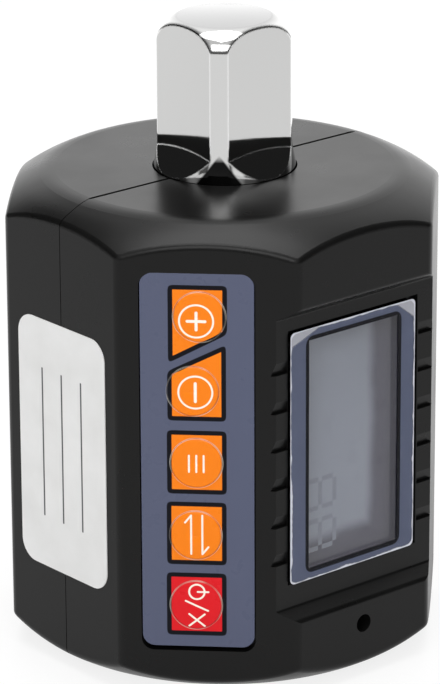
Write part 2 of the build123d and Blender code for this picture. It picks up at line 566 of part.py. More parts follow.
def keypad_sheet(inner, thickness, inset, hole_radius=0.0):
    """Rounded keypad layer with an optional round hole at each key."""
    outline = RectangleRounded(OVERLAY_WIDTH - 2 * inset, OVERLAY_HEIGHT - 2 * inset, OVERLAY_CORNER - inset)
    if hole_radius:
        for u, z in KEYS.values():
            outline -= Pos(u - OVERLAY_U, z - OVERLAY_Z) * Circle(hole_radius)
    return on_keypad(outline, OVERLAY_U, OVERLAY_Z, inner, inner + thickness)


def keypad_circuit():
    """Bottom layer of the keypad with its tail to the main board."""
    tail = on_keypad(Rectangle(TAIL_THICKNESS, TAIL_WIDTH), TAIL_U, TAIL_Z, TAIL_END, KEYPAD_FLOOR + 0.1)
    return keypad_sheet(KEYPAD_FLOOR, CIRCUIT_THICKNESS, 0.1) + tail


def keypad_spacer():
    """Middle layer of the keypad, bored round each dome."""
    return keypad_sheet(SPACER_BACK, SPACER_THICKNESS, 0.1, SPACER_HOLE_RADIUS)


def keypad_overlay():
    """Printed front sheet of the keypad, its cut edge slightly rounded."""
    sheet = keypad_sheet(OVERLAY_BACK, OVERLAY_FRONT - OVERLAY_BACK, 0, KEY_HOLE_RADIUS)
    front = sheet.faces().sort_by(Axis((0, 0, 0), keypad_normal))[-1]
    return fillet(front.outer_wire().edges(), OVERLAY_EDGE)


def at_key(shape, key, distance):
    """Move a shape modelled upright on the origin to a key, at a distance from the axis."""
    u, z = KEYS[key]
    return keypad_axis.offset(distance) * (Pos(u, z, 0) * shape)


def crown(radius, low, high):
    """Arc of a sphere centred on the turning axis, from its rim up to its pole."""
    rise = high - low
    return RadiusArc((radius, low), (0, high), -(radius**2 + rise**2) / (2 * rise))


def snap_domes():
    """Thin metal domes that click under the keys."""
    inner_radius, inner_height = DOME_RADIUS - 2 * DOME_SHEET, DOME_HEIGHT - DOME_SHEET
    outline = [
        crown(DOME_RADIUS, 0, DOME_HEIGHT),
        Line((0, DOME_HEIGHT), (0, inner_height)),
        crown(inner_radius, 0, inner_height),
        Line((inner_radius, 0), (DOME_RADIUS, 0)),
    ]
    dome = revolve(Plane.XZ * make_face(outline), Axis.Z)
    return Compound([at_key(dome, key, SPACER_BACK) for key in KEYS])


def key_cap():
    """Round key with a pillow-shaped crown, standing on the origin."""
    skirt = OVERLAY_FRONT - OVERLAY_BACK
    top = skirt + KEY_CROWN
    rim_radius, rim_height = KEY_RADIUS - KEY_RIM, top - 0.06
    outline = [
        Line((0, 0), (KEY_RADIUS, 0)),
        Line((KEY_RADIUS, 0), (KEY_RADIUS, skirt)),
        ThreePointArc(
            (KEY_RADIUS, skirt), (KEY_RADIUS - 0.3 * KEY_RIM, skirt + 0.6 * KEY_CROWN), (rim_radius, rim_height)
        ),
        crown(rim_radius, rim_height, top),
        Line((0, top), (0, 0)),
    ]
    return revolve(Plane.XZ * make_face(outline), Axis.Z)


def cell(x, nub_up):
    """AAA cell standing in the bay, its positive nub up or down."""
    body = CELL_LENGTH - CELL_NUB
    case = Cylinder(CELL_RADIUS, body)
    case = chamfer(case.edges().filter_by(GeomType.CIRCLE), CELL_EDGE)
    nub = Pos(0, 0, (body + CELL_NUB) / 2) * Cylinder(CELL_NUB_RADIUS, CELL_NUB)
    shape = case + nub
    if nub_up:
        middle = BAY_HIGH - PLATE_THICKNESS - CELL_NUB - body / 2
    else:
        middle = BAY_LOW + PLATE_THICKNESS + CELL_NUB + body / 2
        shape = Rot(180, 0, 0) * shape
    return Pos(x, CELL_Y, middle) * shape


def contact_plates():
    """Nickelled plates: one joins the cells below, two lead off above."""
    y_low, y_high = CELL_Y - PLATE_REACH, CELL_Y + PLATE_REACH
    below = block((-PLATE_SPAN, y_low, BAY_LOW), (PLATE_SPAN, y_high, BAY_LOW + PLATE_THICKNESS))
    above = block((1, y_low, BAY_HIGH - PLATE_THICKNESS), (PLATE_SPAN, y_high, BAY_HIGH))
    tab_low = (LEAD_X - PLATE_TAB / 2, PLATE_TAB_FRONT, BAY_HIGH - PLATE_THICKNESS)
    above += block(tab_low, (LEAD_X + PLATE_TAB / 2, y_low, BAY_HIGH))
    return Compound([below, above, mirror(above, about=Plane.YZ)])


def contact_springs():
    """Coil springs at the flat ends of the two cells."""
    room = BAY_HIGH - BAY_LOW - 2 * PLATE_THICKNESS - CELL_LENGTH
    spring = coil(CONTACT_COIL_RADIUS, CONTACT_WIRE, room, CONTACT_TURNS)
    lower = Pos(-CELL_X, CELL_Y, BAY_LOW + PLATE_THICKNESS) * spring
    upper = Pos(CELL_X, CELL_Y, BAY_HIGH - PLATE_THICKNESS - room) * spring
    return Compound([lower, upper])


def battery_leads():
    """Two wires from the upper contact plates through the bay wall to the main board."""
    return Compound(at_both_leads(rod_y(LEAD_RADIUS, -BOARD_BACK, LEAD_END)))


def housing_screws():
    """Four cross-recessed screws."""
    top = SCREW_SEAT + SCREW_HEAD_HEIGHT
    head = rod_y(SCREW_HEAD_RADIUS, SCREW_SEAT, top)
    head = fillet(head.edges().group_by(Axis.Y)[-1], SCREW_HEAD_ROUND)
    screw = head + rod_y(SCREW_CORE_RADIUS, SCREW_SEAT - SCREW_LENGTH, SCREW_SEAT)
    slot = block(
        (-CROSS_HALF_LENGTH, top - CROSS_DEPTH, -CROSS_HALF_WIDTH), (CROSS_HALF_LENGTH, top + 1, CROSS_HALF_WIDTH)
    )
    screw = screw - slot - Rot(0, 90, 0) * slot
    return Compound(at_housing_screws(screw))


def side_label():
    """Sticker across the seam."""
    sticker = RectangleRounded(LABEL_WIDTH, LABEL_HEIGHT, LABEL_CORNER)
    return extrude(label_face * (Pos(0, LABEL_Z) * sticker), LABEL_THICKNESS)


sub_parts = {
    "front_housing": front_housing(),
    "rear_housing": rear_housing(),
    "housing_screws": housing_screws(),
    "torque_shaft": torque_shaft(),
    "detent_ball": detent_ball(),
    "detent_spring": detent_spring(),
    "upper_seal": upper_seal(),
    "lower_seal": lower_seal(),
    "strain_gauges": strain_gauges(),
    "gauge_flex": gauge_flex(),
    "main_board": main_board(),
    "board_components": board_components(),
    "board_screws": board_screws(),
    "buzzer": buzzer(),
    "lcd_panel": lcd_panel(),
    "lcd_holder": lcd_holder(),
    "contact_strips": contact_strips(),
    "lcd_lens": lcd_lens(),
    "lens_border": lens_border(),
    "lens_film": lens_film(),
    "keypad_circuit": keypad_circuit(),
    "keypad_spacer": keypad_spacer(),
    "snap_domes": snap_domes(),
    "keypad_overlay": keypad_overlay(),
    "cell_left": cell(-CELL_X, True),
    "cell_right": cell(CELL_X, False),
    "contact_plates": contact_plates(),
    "contact_springs": contact_springs(),
    "battery_leads": battery_leads(),
    "battery_door": battery_door(),
    "side_label": side_label(),
}
for key in KEYS:
    sub_parts[key] = at_key(key_cap(), key, OVERLAY_BACK)

for node, shape in sub_parts.items():
    export_step(shape, f"parts/{node}.step")
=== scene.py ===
"""Looks of the digital torque adapter, piece by piece in the order it goes together.

Frame: metres, origin on the shaft axis at the housing's base, +Z towards the male
square, -Y out of the display face, -X out of the label face.
"""

import bmesh
import bpy
from math import copysign, cos, hypot, pi, radians, sin, sqrt
from mathutils import Matrix, Vector


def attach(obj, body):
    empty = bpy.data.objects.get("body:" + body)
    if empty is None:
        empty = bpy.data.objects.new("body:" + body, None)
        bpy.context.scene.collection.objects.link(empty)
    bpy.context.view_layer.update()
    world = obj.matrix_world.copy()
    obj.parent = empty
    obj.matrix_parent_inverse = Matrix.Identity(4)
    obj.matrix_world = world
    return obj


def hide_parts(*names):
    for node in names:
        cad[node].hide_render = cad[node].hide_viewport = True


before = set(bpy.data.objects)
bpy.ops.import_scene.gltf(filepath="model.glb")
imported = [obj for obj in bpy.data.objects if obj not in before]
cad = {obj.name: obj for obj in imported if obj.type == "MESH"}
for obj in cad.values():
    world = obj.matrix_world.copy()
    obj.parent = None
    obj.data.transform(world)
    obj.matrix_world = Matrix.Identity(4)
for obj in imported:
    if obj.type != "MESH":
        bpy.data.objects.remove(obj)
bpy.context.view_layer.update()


# The studio: a pale floor that runs back without an edge, a broad soft lamp overhead and
# one above the camera. The surroundings are white behind, dim low down in front, and dark
# to both sides, where they darken the rounded edges, with two small bright spots low down.
MM = 0.001
CAMERA_AZIMUTH, CAMERA_ELEVATION, CAMERA_ROLL = radians(229.742), radians(19.53), radians(-0.262)
CAMERA_DISTANCE, CAMERA_TARGET, CAMERA_LENS = 0.51441, Vector((-0.000507, 0.000429, 0.03537)), 225.49
FLOOR_SIDE, FLOOR_DROP, FLOOR_WHITE = 8.0, 0.02 * MM, 0.86
FLOOR_GLEAM, FLOOR_GLEAM_BEHIND, GLEAM_FROM, GLEAM_FULL = 0.82, 1.7, 0.03, 0.3
PAPER_GLOW, GLOW_SHARE, GLOSSY_SHARE = 1.02, 0.82, 0.7
OVERHEAD_SIDES, OVERHEAD_PLACE, OVERHEAD_LEVEL = (0.6, 0.6), Vector((-0.05, -0.02, 0.8)), 4.0
FRONT_SIDES, FRONT_AZIMUTH, FRONT_ELEVATION = (0.55, 0.4), radians(226), radians(36)
FRONT_DISTANCE, FRONT_LEVEL = 0.95, 3.4
LOW_LEVEL, SKY_LEVEL, SKY_FROM, SKY_FULL = 0.12, 0.95, radians(8), radians(24)
SURROUNDINGS = (
    # azimuth, elevation, full within, gone beyond, level
    (50, 20, 38, 80, 1.8),
    (124, 21, 34, 52, 0.02),
    (320, 24, 30, 44, 0.02),
    (177, 2, 6, 13, 1.2),
    (251, 4, 6, 13, 1.2),
)

scene = bpy.context.scene
scene.view_settings.view_transform = "Standard"


def direction(azimuth, elevation):
    """Unit vector towards a compass direction and height."""
    return Vector((cos(azimuth) * cos(elevation), sin(azimuth) * cos(elevation), sin(elevation)))


def aimed(towards_viewer, place, roll=0.0):
    """Matrix of a camera or lamp at a place, looking against a direction."""
    right = Vector((0, 0, 1)).cross(towards_viewer).normalized()
    if right.length < 0.5:
        right = Vector((1, 0, 0))
    up = towards_viewer.cross(right)
    axes = Matrix((right, up, towards_viewer)).transposed().to_4x4()
    return Matrix.Translation(place) @ axes @ Matrix.Rotation(roll, 4, "Z")


def soft_lamp(name, sides, level, towards, place):
    """Rectangular lamp of a brightness that shines from a place against a direction."""
    lamp = bpy.data.lights.new(name, "AREA")
    lamp.shape = "RECTANGLE"
    lamp.size, lamp.size_y = sides
    lamp.energy = level * pi * sides[0] * sides[1]
    holder = bpy.data.objects.new(name, lamp)
    holder.matrix_world = aimed(towards, place)
    scene.collection.objects.link(holder)


def add(tree, kind, inputs=(), **options):
    """Add a node to a tree, set its options and feed its inputs with sockets or plain values."""
    made = tree.nodes.new(kind)
    for option, value in options.items():
        setattr(made, option, value)
    for place, value in inputs.items() if isinstance(inputs, dict) else enumerate(inputs):
        if isinstance(value, bpy.types.NodeSocket):
            tree.links.new(value, made.inputs[place])
        elif value is not None:
            made.inputs[place].default_value = value
    return made


def maths(tree, operation, *values):
    """Output of a Math node."""
    return add(tree, "ShaderNodeMath", values, operation=operation).outputs[0]


def dot(tree, first, second):
    """Dot product of two vectors, each a socket or a tuple."""
    return add(tree, "ShaderNodeVectorMath", (first, second), operation="DOT_PRODUCT").outputs["Value"]


def spread(tree, value, start, end, low=0.0, high=1.0, smooth=False):
    """Value carried from one range to another and held at its ends."""
    kind = "SMOOTHSTEP" if smooth else "LINEAR"
    inputs = (value, start, end, low, high)
    return add(tree, "ShaderNodeMapRange", inputs, interpolation_type=kind, clamp=True).outputs[0]


def between(tree, share, first, second):
    """Value between two values."""
    return add(tree, "ShaderNodeMix", (share, None, first, second)).outputs[0]


view = direction(CAMERA_AZIMUTH, CAMERA_ELEVATION)
camera = bpy.data.objects.new("camera", bpy.data.cameras.new("camera"))
camera.data.lens = CAMERA_LENS
camera.data.clip_start = 10 * MM
camera.matrix_world = aimed(view, CAMERA_TARGET + CAMERA_DISTANCE * view, CAMERA_ROLL)
scene.collection.objects.link(camera)
scene.camera = camera

front = direction(FRONT_AZIMUTH, FRONT_ELEVATION)
soft_lamp("overhead_lamp", OVERHEAD_SIDES, OVERHEAD_LEVEL, Vector((0, 0, 1)), OVERHEAD_PLACE)
soft_lamp("front_lamp", FRONT_SIDES, FRONT_LEVEL, front, FRONT_DISTANCE * front)

world = bpy.data.worlds.new("surroundings")
scene.world = world
world.use_nodes = True
sky = world.node_tree
sky.nodes.clear()
towards = add(sky, "ShaderNodeTexCoord").outputs["Generated"]
height = add(sky, "ShaderNodeSeparateXYZ", (towards,)).outputs["Z"]
level = spread(sky, height, sin(SKY_FROM), sin(SKY_FULL), LOW_LEVEL, SKY_LEVEL, smooth=True)
for azimuth, elevation, full, gone, brightness in SURROUNDINGS:
    facing = dot(sky, towards, tuple(direction(radians(azimuth), radians(elevation))))
    share = spread(sky, facing, cos(radians(gone)), cos(radians(full)), smooth=True)
    level = between(sky, share, level, brightness)
seen = add(sky, "ShaderNodeLightPath").outputs["Is Camera Ray"]
background = add(sky, "ShaderNodeBackground", {"Strength": between(sky, seen, level, 1.0)})
add(sky, "ShaderNodeOutputWorld", (background.outputs[0],))

floor_mesh = bpy.data.meshes.new("floor")
half = FLOOR_SIDE / 2
corners = [(half * x, half * y, -FLOOR_DROP) for x, y in ((-1, -1), (1, -1), (1, 1), (-1, 1))]
floor_mesh.from_pydata(corners, [], [(0, 1, 2, 3)])
floor = bpy.data.objects.new("floor", floor_mesh)
scene.collection.objects.link(floor)
paper = bpy.data.materials.new("floor_paper")
paper.use_nodes = True
tree = paper.node_tree
tree.nodes.clear()
matt = add(tree, "ShaderNodeBsdfDiffuse", {"Color": (FLOOR_WHITE, FLOOR_WHITE, FLOOR_WHITE, 1)})
rays = add(tree, "ShaderNodeLightPath").outputs
away = -Vector((view.x, view.y, 0)).normalized()
surface = add(tree, "ShaderNodeNewGeometry").outputs
behind = dot(tree, surface["Position"], tuple(away))
gleam = spread(tree, behind, GLEAM_FROM, GLEAM_FULL, FLOOR_GLEAM, FLOOR_GLEAM_BEHIND)
strength = between(tree, rays["Is Glossy Ray"], PAPER_GLOW, gleam)
glow = add(tree, "ShaderNodeEmission", {"Strength": strength})
share = maths(tree, "MULTIPLY", rays["Is Camera Ray"], GLOW_SHARE)
share = maths(tree, "MULTIPLY_ADD", rays["Is Glossy Ray"], GLOSSY_SHARE, share)
share = maths(tree, "MULTIPLY_ADD", rays["Is Transmission Ray"], GLOW_SHARE, share)
upper_side = add(tree, "ShaderNodeMixShader", (share, matt.outputs[0], glow.outputs[0])).outputs[0]
clear_underside = add(tree, "ShaderNodeBsdfTransparent").outputs[0]
sides = add(tree, "ShaderNodeMixShader", (surface["Backfacing"], upper_side, clear_underside))
add(tree, "ShaderNodeOutputMaterial", (sides.outputs[0],))
floor_mesh.materials.append(paper)


# The housing halves and the battery door: black ABS, injection moulded with a fine satin
# texture. The halves meet on the seam under the label; the door is pushed into the rear half.
PLASTIC_BLACK, PLASTIC_LIGHTER, PLASTIC_SHINE = (0.0042, 0.0042, 0.0041), (0.0062, 0.0061, 0.006), 0.2
PLASTIC_ROUGHNESS = (0.26, 0.33)
SPARK_GRAIN, SPARK_DEPTH = 0.16 * MM, 0.9e-6
FLOW_GRAIN = 9 * MM
END_FROM, END_FULL = 47.0 * MM, 53.0 * MM
SEAM_OPEN_FROM, SEAM_OPEN_TO, SEAM_HALF = 53.5 * MM, 20.6 * MM, 0.24 * MM
SEAM_SHUT_BELOW, SEAM_SHUT_HALF = 0.3 * MM, 0.01 * MM
CAD_END = ((21.0, 58.0), (25.0, 56.05), (27.06, 54.3))
SEEN_END = ((20.9, 57.7), (25.0, 55.65), (27.06, 53.95))
SLOPE_STEP = 0.1
NOISE_LOW, NOISE_HIGH = 0.3, 0.7


def finish_of(name, colour, roughness=0.5, metallic=0.0, shine=0.5):
    """New material with one Principled shader, whose plain values are set on its own sockets."""
    material = bpy.data.materials.new(name)
    material.use_nodes = True
    tree = material.node_tree
    tree.nodes.clear()
    inputs = {
        "Base Color": (*colour, 1), "Roughness": roughness,
        "Metallic": metallic, "Specular IOR Level": shine,
    }
    shader = add(tree, "ShaderNodeBsdfPrincipled", inputs)
    add(tree, "ShaderNodeOutputMaterial", (shader.outputs[0],))
    return material, tree, shader


def feed(tree, shader, **sockets):
    """Link outputs to the shader's inputs; colour stands for its base colour."""
    names = {"colour": "Base Color", "roughness": "Roughness", "normal": "Normal", "alpha": "Alpha"}
    for key, output in sockets.items():
        tree.links.new(output, shader.inputs[names[key]])


def object_place(tree):
    """Point of the surface in the adapter's own frame."""
    return add(tree, "ShaderNodeTexCoord").outputs["Object"]


def grain(tree, size, detail=2.0):
    """Cloudy noise between 0 and 1 whose spots are about a size across."""
    inputs = {"Vector": object_place(tree), "Scale": 1 / size, "Detail": detail}
    return add(tree, "ShaderNodeTexNoise", inputs).outputs[0]


def varied(tree, noise, low=0.0, high=1.0):
    """Noise stretched to run from a low to a high value."""
    return spread(tree, noise, NOISE_LOW, NOISE_HIGH, low, high)


def emboss(tree, shader, height, depth, before=None):
    """Let a pattern between 0 and 1 stand out of the surface by a depth."""
    bump = add(tree, "ShaderNodeBump", {"Distance": depth, "Height": height})
    if before is not None:
        tree.links.new(before, bump.inputs["Normal"])
    feed(tree, shader, normal=bump.outputs[0])


def tint(tree, factor, first, second):
    """Colour between two colours, each a tuple or a socket, by the node's sockets for colours."""
    mix = add(tree, "ShaderNodeMix", {"Factor": factor}, data_type="RGBA")
    for place, value in ((6, first), (7, second)):
        if isinstance(value, bpy.types.NodeSocket):
            tree.links.new(value, mix.inputs[place])
        else:
            mix.inputs[place].default_value = (*value, 1)
    return mix.outputs[2]


def dress(material, *names):
    """Give CAD nodes their material."""
    for name in names:
        cad[name].data.materials.clear()
        cad[name].data.materials.append(material)


def end_height(points, radius):
    """Height of the curve through three points of a half section, and of the flat disc inside it."""
    (near, top), (mid, flank), (far, foot) = points
    if radius <= near:
        return top
    slope, next_slope = (flank - top) / (mid - near), (foot - flank) / (far - mid)
    bend = (next_slope - slope) / (far - near)
    return top + slope * (radius - near) + bend * (radius - near) * (radius - mid)


def end_rise(radius):
    """How far the seen end lies above the solid's at a radius; both are in millimetres."""
    return end_height(SEEN_END, radius) - end_height(CAD_END, radius)


def settled_end(name):
    """Copy of a housing half with a lower, crisper top disc, its seam open on top and shut below."""
    mesh = cad[name].data.copy()
    normals = [Vector(corner.vector) for corner in mesh.corner_normals]
    slopes = []
    for vertex in mesh.vertices:
        place = vertex.co
        radius = hypot(place.x, place.y)
        share = min(max((place.z - END_FROM) / (END_FULL - END_FROM), 0.0), 1.0)
        rise = end_rise(radius / MM)
        slope = (end_rise(radius / MM + SLOPE_STEP) - rise) / SLOPE_STEP
        place.z += share * rise * MM
        if place.z > SEAM_OPEN_FROM and radius < SEAM_OPEN_TO and abs(place.y) < SEAM_HALF:
            place.y = copysign(SEAM_HALF, place.y)
        if place.z < SEAM_SHUT_BELOW and abs(place.y) < SEAM_HALF:
            place.y = copysign(SEAM_SHUT_HALF, place.y)
        slopes.append(share * slope * Vector((place.x, place.y, 0)).normalized())
    for loop in mesh.loops:
        normal = normals[loop.index]
        normals[loop.index] = (normal - slopes[loop.vertex_index] * normal.z).normalized()
    mesh.normals_split_custom_set(normals)
    piece = bpy.data.objects.new(name + "_settled", mesh)
    scene.collection.objects.link(piece)
    mesh.materials.clear()
    mesh.materials.append(plastic)
    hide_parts(name)
    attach(piece, "body")


plastic, tree, shader = finish_of("moulded_black", PLASTIC_BLACK, shine=PLASTIC_SHINE)
flow = grain(tree, FLOW_GRAIN, 3)
feed(
    tree, shader,
    colour=tint(tree, flow, PLASTIC_BLACK, PLASTIC_LIGHTER),
    roughness=varied(tree, flow, *PLASTIC_ROUGHNESS),
)
emboss(tree, shader, grain(tree, SPARK_GRAIN, 1), SPARK_DEPTH)
dress(plastic, "battery_door")
settled_end("front_housing")
settled_end("rear_housing")


# The screws: zinc plated steel. Four close the housing from behind and four smaller ones
# hold the main board on its posts.
SCREW_STEEL, SCREW_SHADE = (0.34, 0.34, 0.35), (0.2, 0.2, 0.21)
SCREW_WEAR, SCREW_ROUGHNESS = 0.35 * MM, (0.24, 0.42)

zinc, tree, shader = finish_of("zinc_plate", SCREW_STEEL, metallic=1.0)
wear = grain(tree, SCREW_WEAR, 4)
feed(
    tree, shader,
    colour=tint(tree, varied(tree, wear), SCREW_STEEL, SCREW_SHADE),
    roughness=varied(tree, wear, *SCREW_ROUGHNESS),
)
dress(zinc, "housing_screws", "board_screws")


# The torsion shaft: one bar of tool steel, ground, polished and chromed, with a painted highlight
# along its edges and a painted dark reflection on its upper arcs and corner feet. The halves clamp
# its collar; the squares stand out of the top and open below.
CHROME, CHROME_END = (0.66, 0.66, 0.655), (0.43, 0.43, 0.43)
CHROME_PAINTED_HIGHLIGHT, CHROME_PAINTED_DARK = (0.95, 0.95, 0.95), (0.012, 0.012, 0.012)
# A pair of limits says where an effect starts and where it is full.
CHROME_SMEAR, SMEAR_SHOWS, CHROME_ROUGHNESS = 4 * MM, (0.35, 0.75), (0.03, 0.075)
POLISH_WAVE, POLISH_DEPTH = 2.5 * MM, 2e-6
EDGE_WIDTH, EDGE_TURNED = 0.3 * MM, (0.999, 0.96)
PAINTED_DARK_WIDTH, PAINTED_DARK_TURNED, PAINTED_DARK_ABOVE = 0.9 * MM, (0.9985, 0.994), (70.0, 71.0)
END_LEAN, PAINTED_DARK_LEAN = (0.85, 0.98), (0.15, 0.3)
CORNER_FOOT, CORNER_HEAD, CORNER_TAPER, CORNER_HALF = 60.3, 61.2, 1.1, (1.15, 0.75)
CORNER_OFF_EDGE = (0.6, 0.2)
FLAT_SIDE, TURNED_RADIUS, SHAFT_TOP = 6.35, 7.98, 75.9
END_DISC, END_DROP, END_ROUND = 5.6, 2.5, 3.2
SHANK_RADIUS, SHANK_LOW, SHANK_HIGH, SHANK_SHOULDER = 8.42, 57.0, 58.0, 60.3
SHOULDER_EASE, SHOULDER_RING, JOINT_RING = 0.04, 0.2, 0.3
FLAT_FOOT, FOOT_ROUND, RUNOUT_FALL = 60.85, 21.8, 1.45
MILL_REACH, MILL_DEPTH, MILL_TOP = 10.0, 3.0, 84.0
BORE_RADIUS, BORE_HEIGHT, BORE_FROM, BORE_TO = 2.06, 68.4, 0.3, 9.0
BAR_OVERLAP = 0.2
TURNED_STEPS, CROWN_STEPS, FOOT_STEPS, BORE_STEPS = 192, 12, 32, 48


def millimetres(tree):
    """The surface point's X, Y and Z in millimetres."""
    scaled = add(tree, "ShaderNodeVectorMath", {0: object_place(tree), "Scale": 1 / MM}, operation="SCALE")
    return add(tree, "ShaderNodeSeparateXYZ", (scaled.outputs[0],)).outputs


def arc_points(start, end, radius, steps):
    """Points after the start of an arc that bulges outwards between two points of a half section."""
    start, end = Vector(start), Vector(end)
    chord = end - start
    out = Vector((chord.y, -chord.x)).normalized()
    centre = (start + end) / 2 - out * sqrt(radius**2 - (chord.length / 2) ** 2)
    first, last = start - centre, end - centre
    turn = first.angle_signed(last)
    return [centre + Matrix.Rotation(-turn * i / steps, 2) @ first for i in range(1, steps + 1)]


def solid(name, vertices, faces):
    """Object with a closed mesh given in millimetres."""
    mesh = bpy.data.meshes.new(name)
    mesh.from_pydata([Vector(v) * MM for v in vertices], [], faces)
    made = bpy.data.objects.new(name, mesh)
    scene.collection.objects.link(made)
    return made


def turned_bar():
    """The male square before milling: a turned bar from the shank to the domed tip."""
    shoulder = SHAFT_TOP - END_DROP
    section = [
        (SHANK_RADIUS, SHANK_LOW), (SHANK_RADIUS, SHANK_HIGH),
        (TURNED_RADIUS + SHOULDER_EASE, SHANK_SHOULDER - SHOULDER_RING),
        (TURNED_RADIUS, SHANK_SHOULDER + JOINT_RING),
        (TURNED_RADIUS, shoulder - JOINT_RING), (TURNED_RADIUS, shoulder),
        *arc_points((TURNED_RADIUS, shoulder), (END_DISC, SHAFT_TOP), END_ROUND, CROWN_STEPS),
    ]
    count = len(section)
    vertices = [
        (radius * cos(2 * pi * k / TURNED_STEPS), radius * sin(2 * pi * k / TURNED_STEPS), height)
        for k in range(TURNED_STEPS) for radius, height in section
    ]
    faces = []
    for k in range(TURNED_STEPS):
        here, there = k * count, (k + 1) % TURNED_STEPS * count
        faces += [(here + i, there + i, there + i + 1, here + i + 1) for i in range(count - 1)]
    faces.append([k * count for k in reversed(range(TURNED_STEPS))])
    faces.append([k * count + count - 1 for k in range(TURNED_STEPS)])
    return solid("turned_bar", vertices, faces)


def milled_side(turn):
    """What the cutter takes off one side: a flat whose arched foot runs out downwards."""
    foot = []
    for i in range(FOOT_STEPS + 1):
        side = MILL_REACH * (2 * i / FOOT_STEPS - 1)
        foot.append((side, FLAT_FOOT - FOOT_ROUND + sqrt(FOOT_ROUND**2 - side**2)))
    outline = [*foot, (MILL_REACH, MILL_TOP), (-MILL_REACH, MILL_TOP)]
    count = len(outline)
    fall = RUNOUT_FALL * MILL_DEPTH
    inner = [(FLAT_SIDE, side, height) for side, height in outline]
    outer = [(FLAT_SIDE + MILL_DEPTH, side, height - fall) for side, height in outline]
    faces = [tuple(reversed(range(count))), tuple(range(count, 2 * count))]
    faces += [(i, (i + 1) % count, (i + 1) % count + count, i + count) for i in range(count)]
    cutter = solid("milled_side", inner + outer, faces)
    cutter.data.transform(Matrix.Rotation(turn, 4, "Z"))
    return cutter


def ball_bore():
    """Bore for the detent ball through the rear flat."""
    turns = [pi * k / (BORE_STEPS / 2) for k in range(BORE_STEPS)]
    ring = [(BORE_RADIUS * cos(turn), BORE_HEIGHT + BORE_RADIUS * sin(turn)) for turn in turns]
    vertices = [(x, y, z) for y in (BORE_FROM, BORE_TO) for x, z in ring]
    faces = [tuple(range(BORE_STEPS)), tuple(reversed(range(BORE_STEPS, 2 * BORE_STEPS)))]
    for k in range(BORE_STEPS):
        after = (k + 1) % BORE_STEPS
        faces.append((k, k + BORE_STEPS, after + BORE_STEPS, after))
    return solid("ball_bore", vertices, faces)


def lower_bar():
    """The bar below the shank, as the frame has it."""
    mesh = cad["torque_shaft"].data.copy()
    work = bmesh.new()
    work.from_mesh(mesh)
    geometry = work.verts[:] + work.edges[:] + work.faces[:]
    cut = (0, 0, (SHANK_LOW + BAR_OVERLAP) * MM)
    bmesh.ops.bisect_plane(work, geom=geometry, plane_co=cut, plane_no=(0, 0, 1), clear_outer=True)
    work.to_mesh(mesh)
    work.free()
    return mesh


chrome, tree, shader = finish_of("bright_chrome", CHROME, metallic=1.0)
smear = grain(tree, CHROME_SMEAR, 4)
rounded = add(tree, "ShaderNodeBevel", {"Radius": EDGE_WIDTH}, samples=6).outputs[0]
plain = add(tree, "ShaderNodeNewGeometry").outputs["Normal"]
turned = dot(tree, rounded, plain)
wide = add(tree, "ShaderNodeBevel", {"Radius": PAINTED_DARK_WIDTH}, samples=8).outputs[0]
wide_turned = dot(tree, wide, plain)
lean = add(tree, "ShaderNodeSeparateXYZ", (plain,)).outputs["Z"]
# The edges rounded by the bevel get a painted highlight, lighter than the chrome.
edge = spread(tree, turned, *EDGE_TURNED)
# Faces that point upwards are coloured darker, by how far they lean.
upward_darkened = tint(tree, spread(tree, lean, *END_LEAN), CHROME, CHROME_END)
x, y, z = millimetres(tree)
# Painted dark reflection: thin arcs on the upward-leaning edges above the flats, and a dark patch at the
# foot of each corner strip, away from its painted highlights.
painted_dark = maths(tree, "MULTIPLY", spread(tree, wide_turned, *PAINTED_DARK_TURNED), spread(tree, lean, *PAINTED_DARK_LEAN))
painted_dark = maths(tree, "MULTIPLY", painted_dark, spread(tree, z, *PAINTED_DARK_ABOVE))
off_corner = maths(tree, "SUBTRACT", maths(tree, "ABSOLUTE", x), maths(tree, "ABSOLUTE", y))
taper = maths(tree, "MULTIPLY", maths(tree, "SUBTRACT", z, CORNER_FOOT), CORNER_TAPER)
off_corner = maths(tree, "ADD", maths(tree, "ABSOLUTE", off_corner), taper)
low_down = spread(tree, z, CORNER_HEAD, CORNER_FOOT)
corner = maths(tree, "MULTIPLY", spread(tree, off_corner, *CORNER_HALF), low_down)
corner = maths(tree, "MULTIPLY", corner, spread(tree, edge, *CORNER_OFF_EDGE))
painted_dark = maths(tree, "MAXIMUM", painted_dark, corner)
feed(
    tree, shader,
    colour=tint(tree, painted_dark, tint(tree, edge, upward_darkened, CHROME_PAINTED_HIGHLIGHT), CHROME_PAINTED_DARK),
    roughness=spread(tree, smear, *SMEAR_SHOWS, *CHROME_ROUGHNESS),
)
emboss(tree, shader, grain(tree, POLISH_WAVE, 2), POLISH_DEPTH, before=rounded)

bar = turned_bar()
cutters = [milled_side(radians(90 * k)) for k in range(4)]
bore = ball_bore()
for cutter in [*cutters, bore]:
    cut = bar.modifiers.new("milled", "BOOLEAN")
    cut.operation, cut.solver, cut.object = "DIFFERENCE", "EXACT", cutter
bpy.context.view_layer.update()
square = bpy.data.meshes.new_from_object(bar.evaluated_get(bpy.context.evaluated_depsgraph_get()))
for tool in [bar, *cutters, bore]:
    bpy.data.objects.remove(tool)
square.shade_smooth()
square.set_sharp_from_angle(angle=radians(22))
for name, mesh in (("male_square", square), ("lower_bar", lower_bar())):
    mesh.materials.clear()
    mesh.materials.append(chrome)
    piece = bpy.data.objects.new(name, mesh)
    scene.collection.objects.link(piece)
    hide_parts("torque_shaft")
    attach(piece, "body")


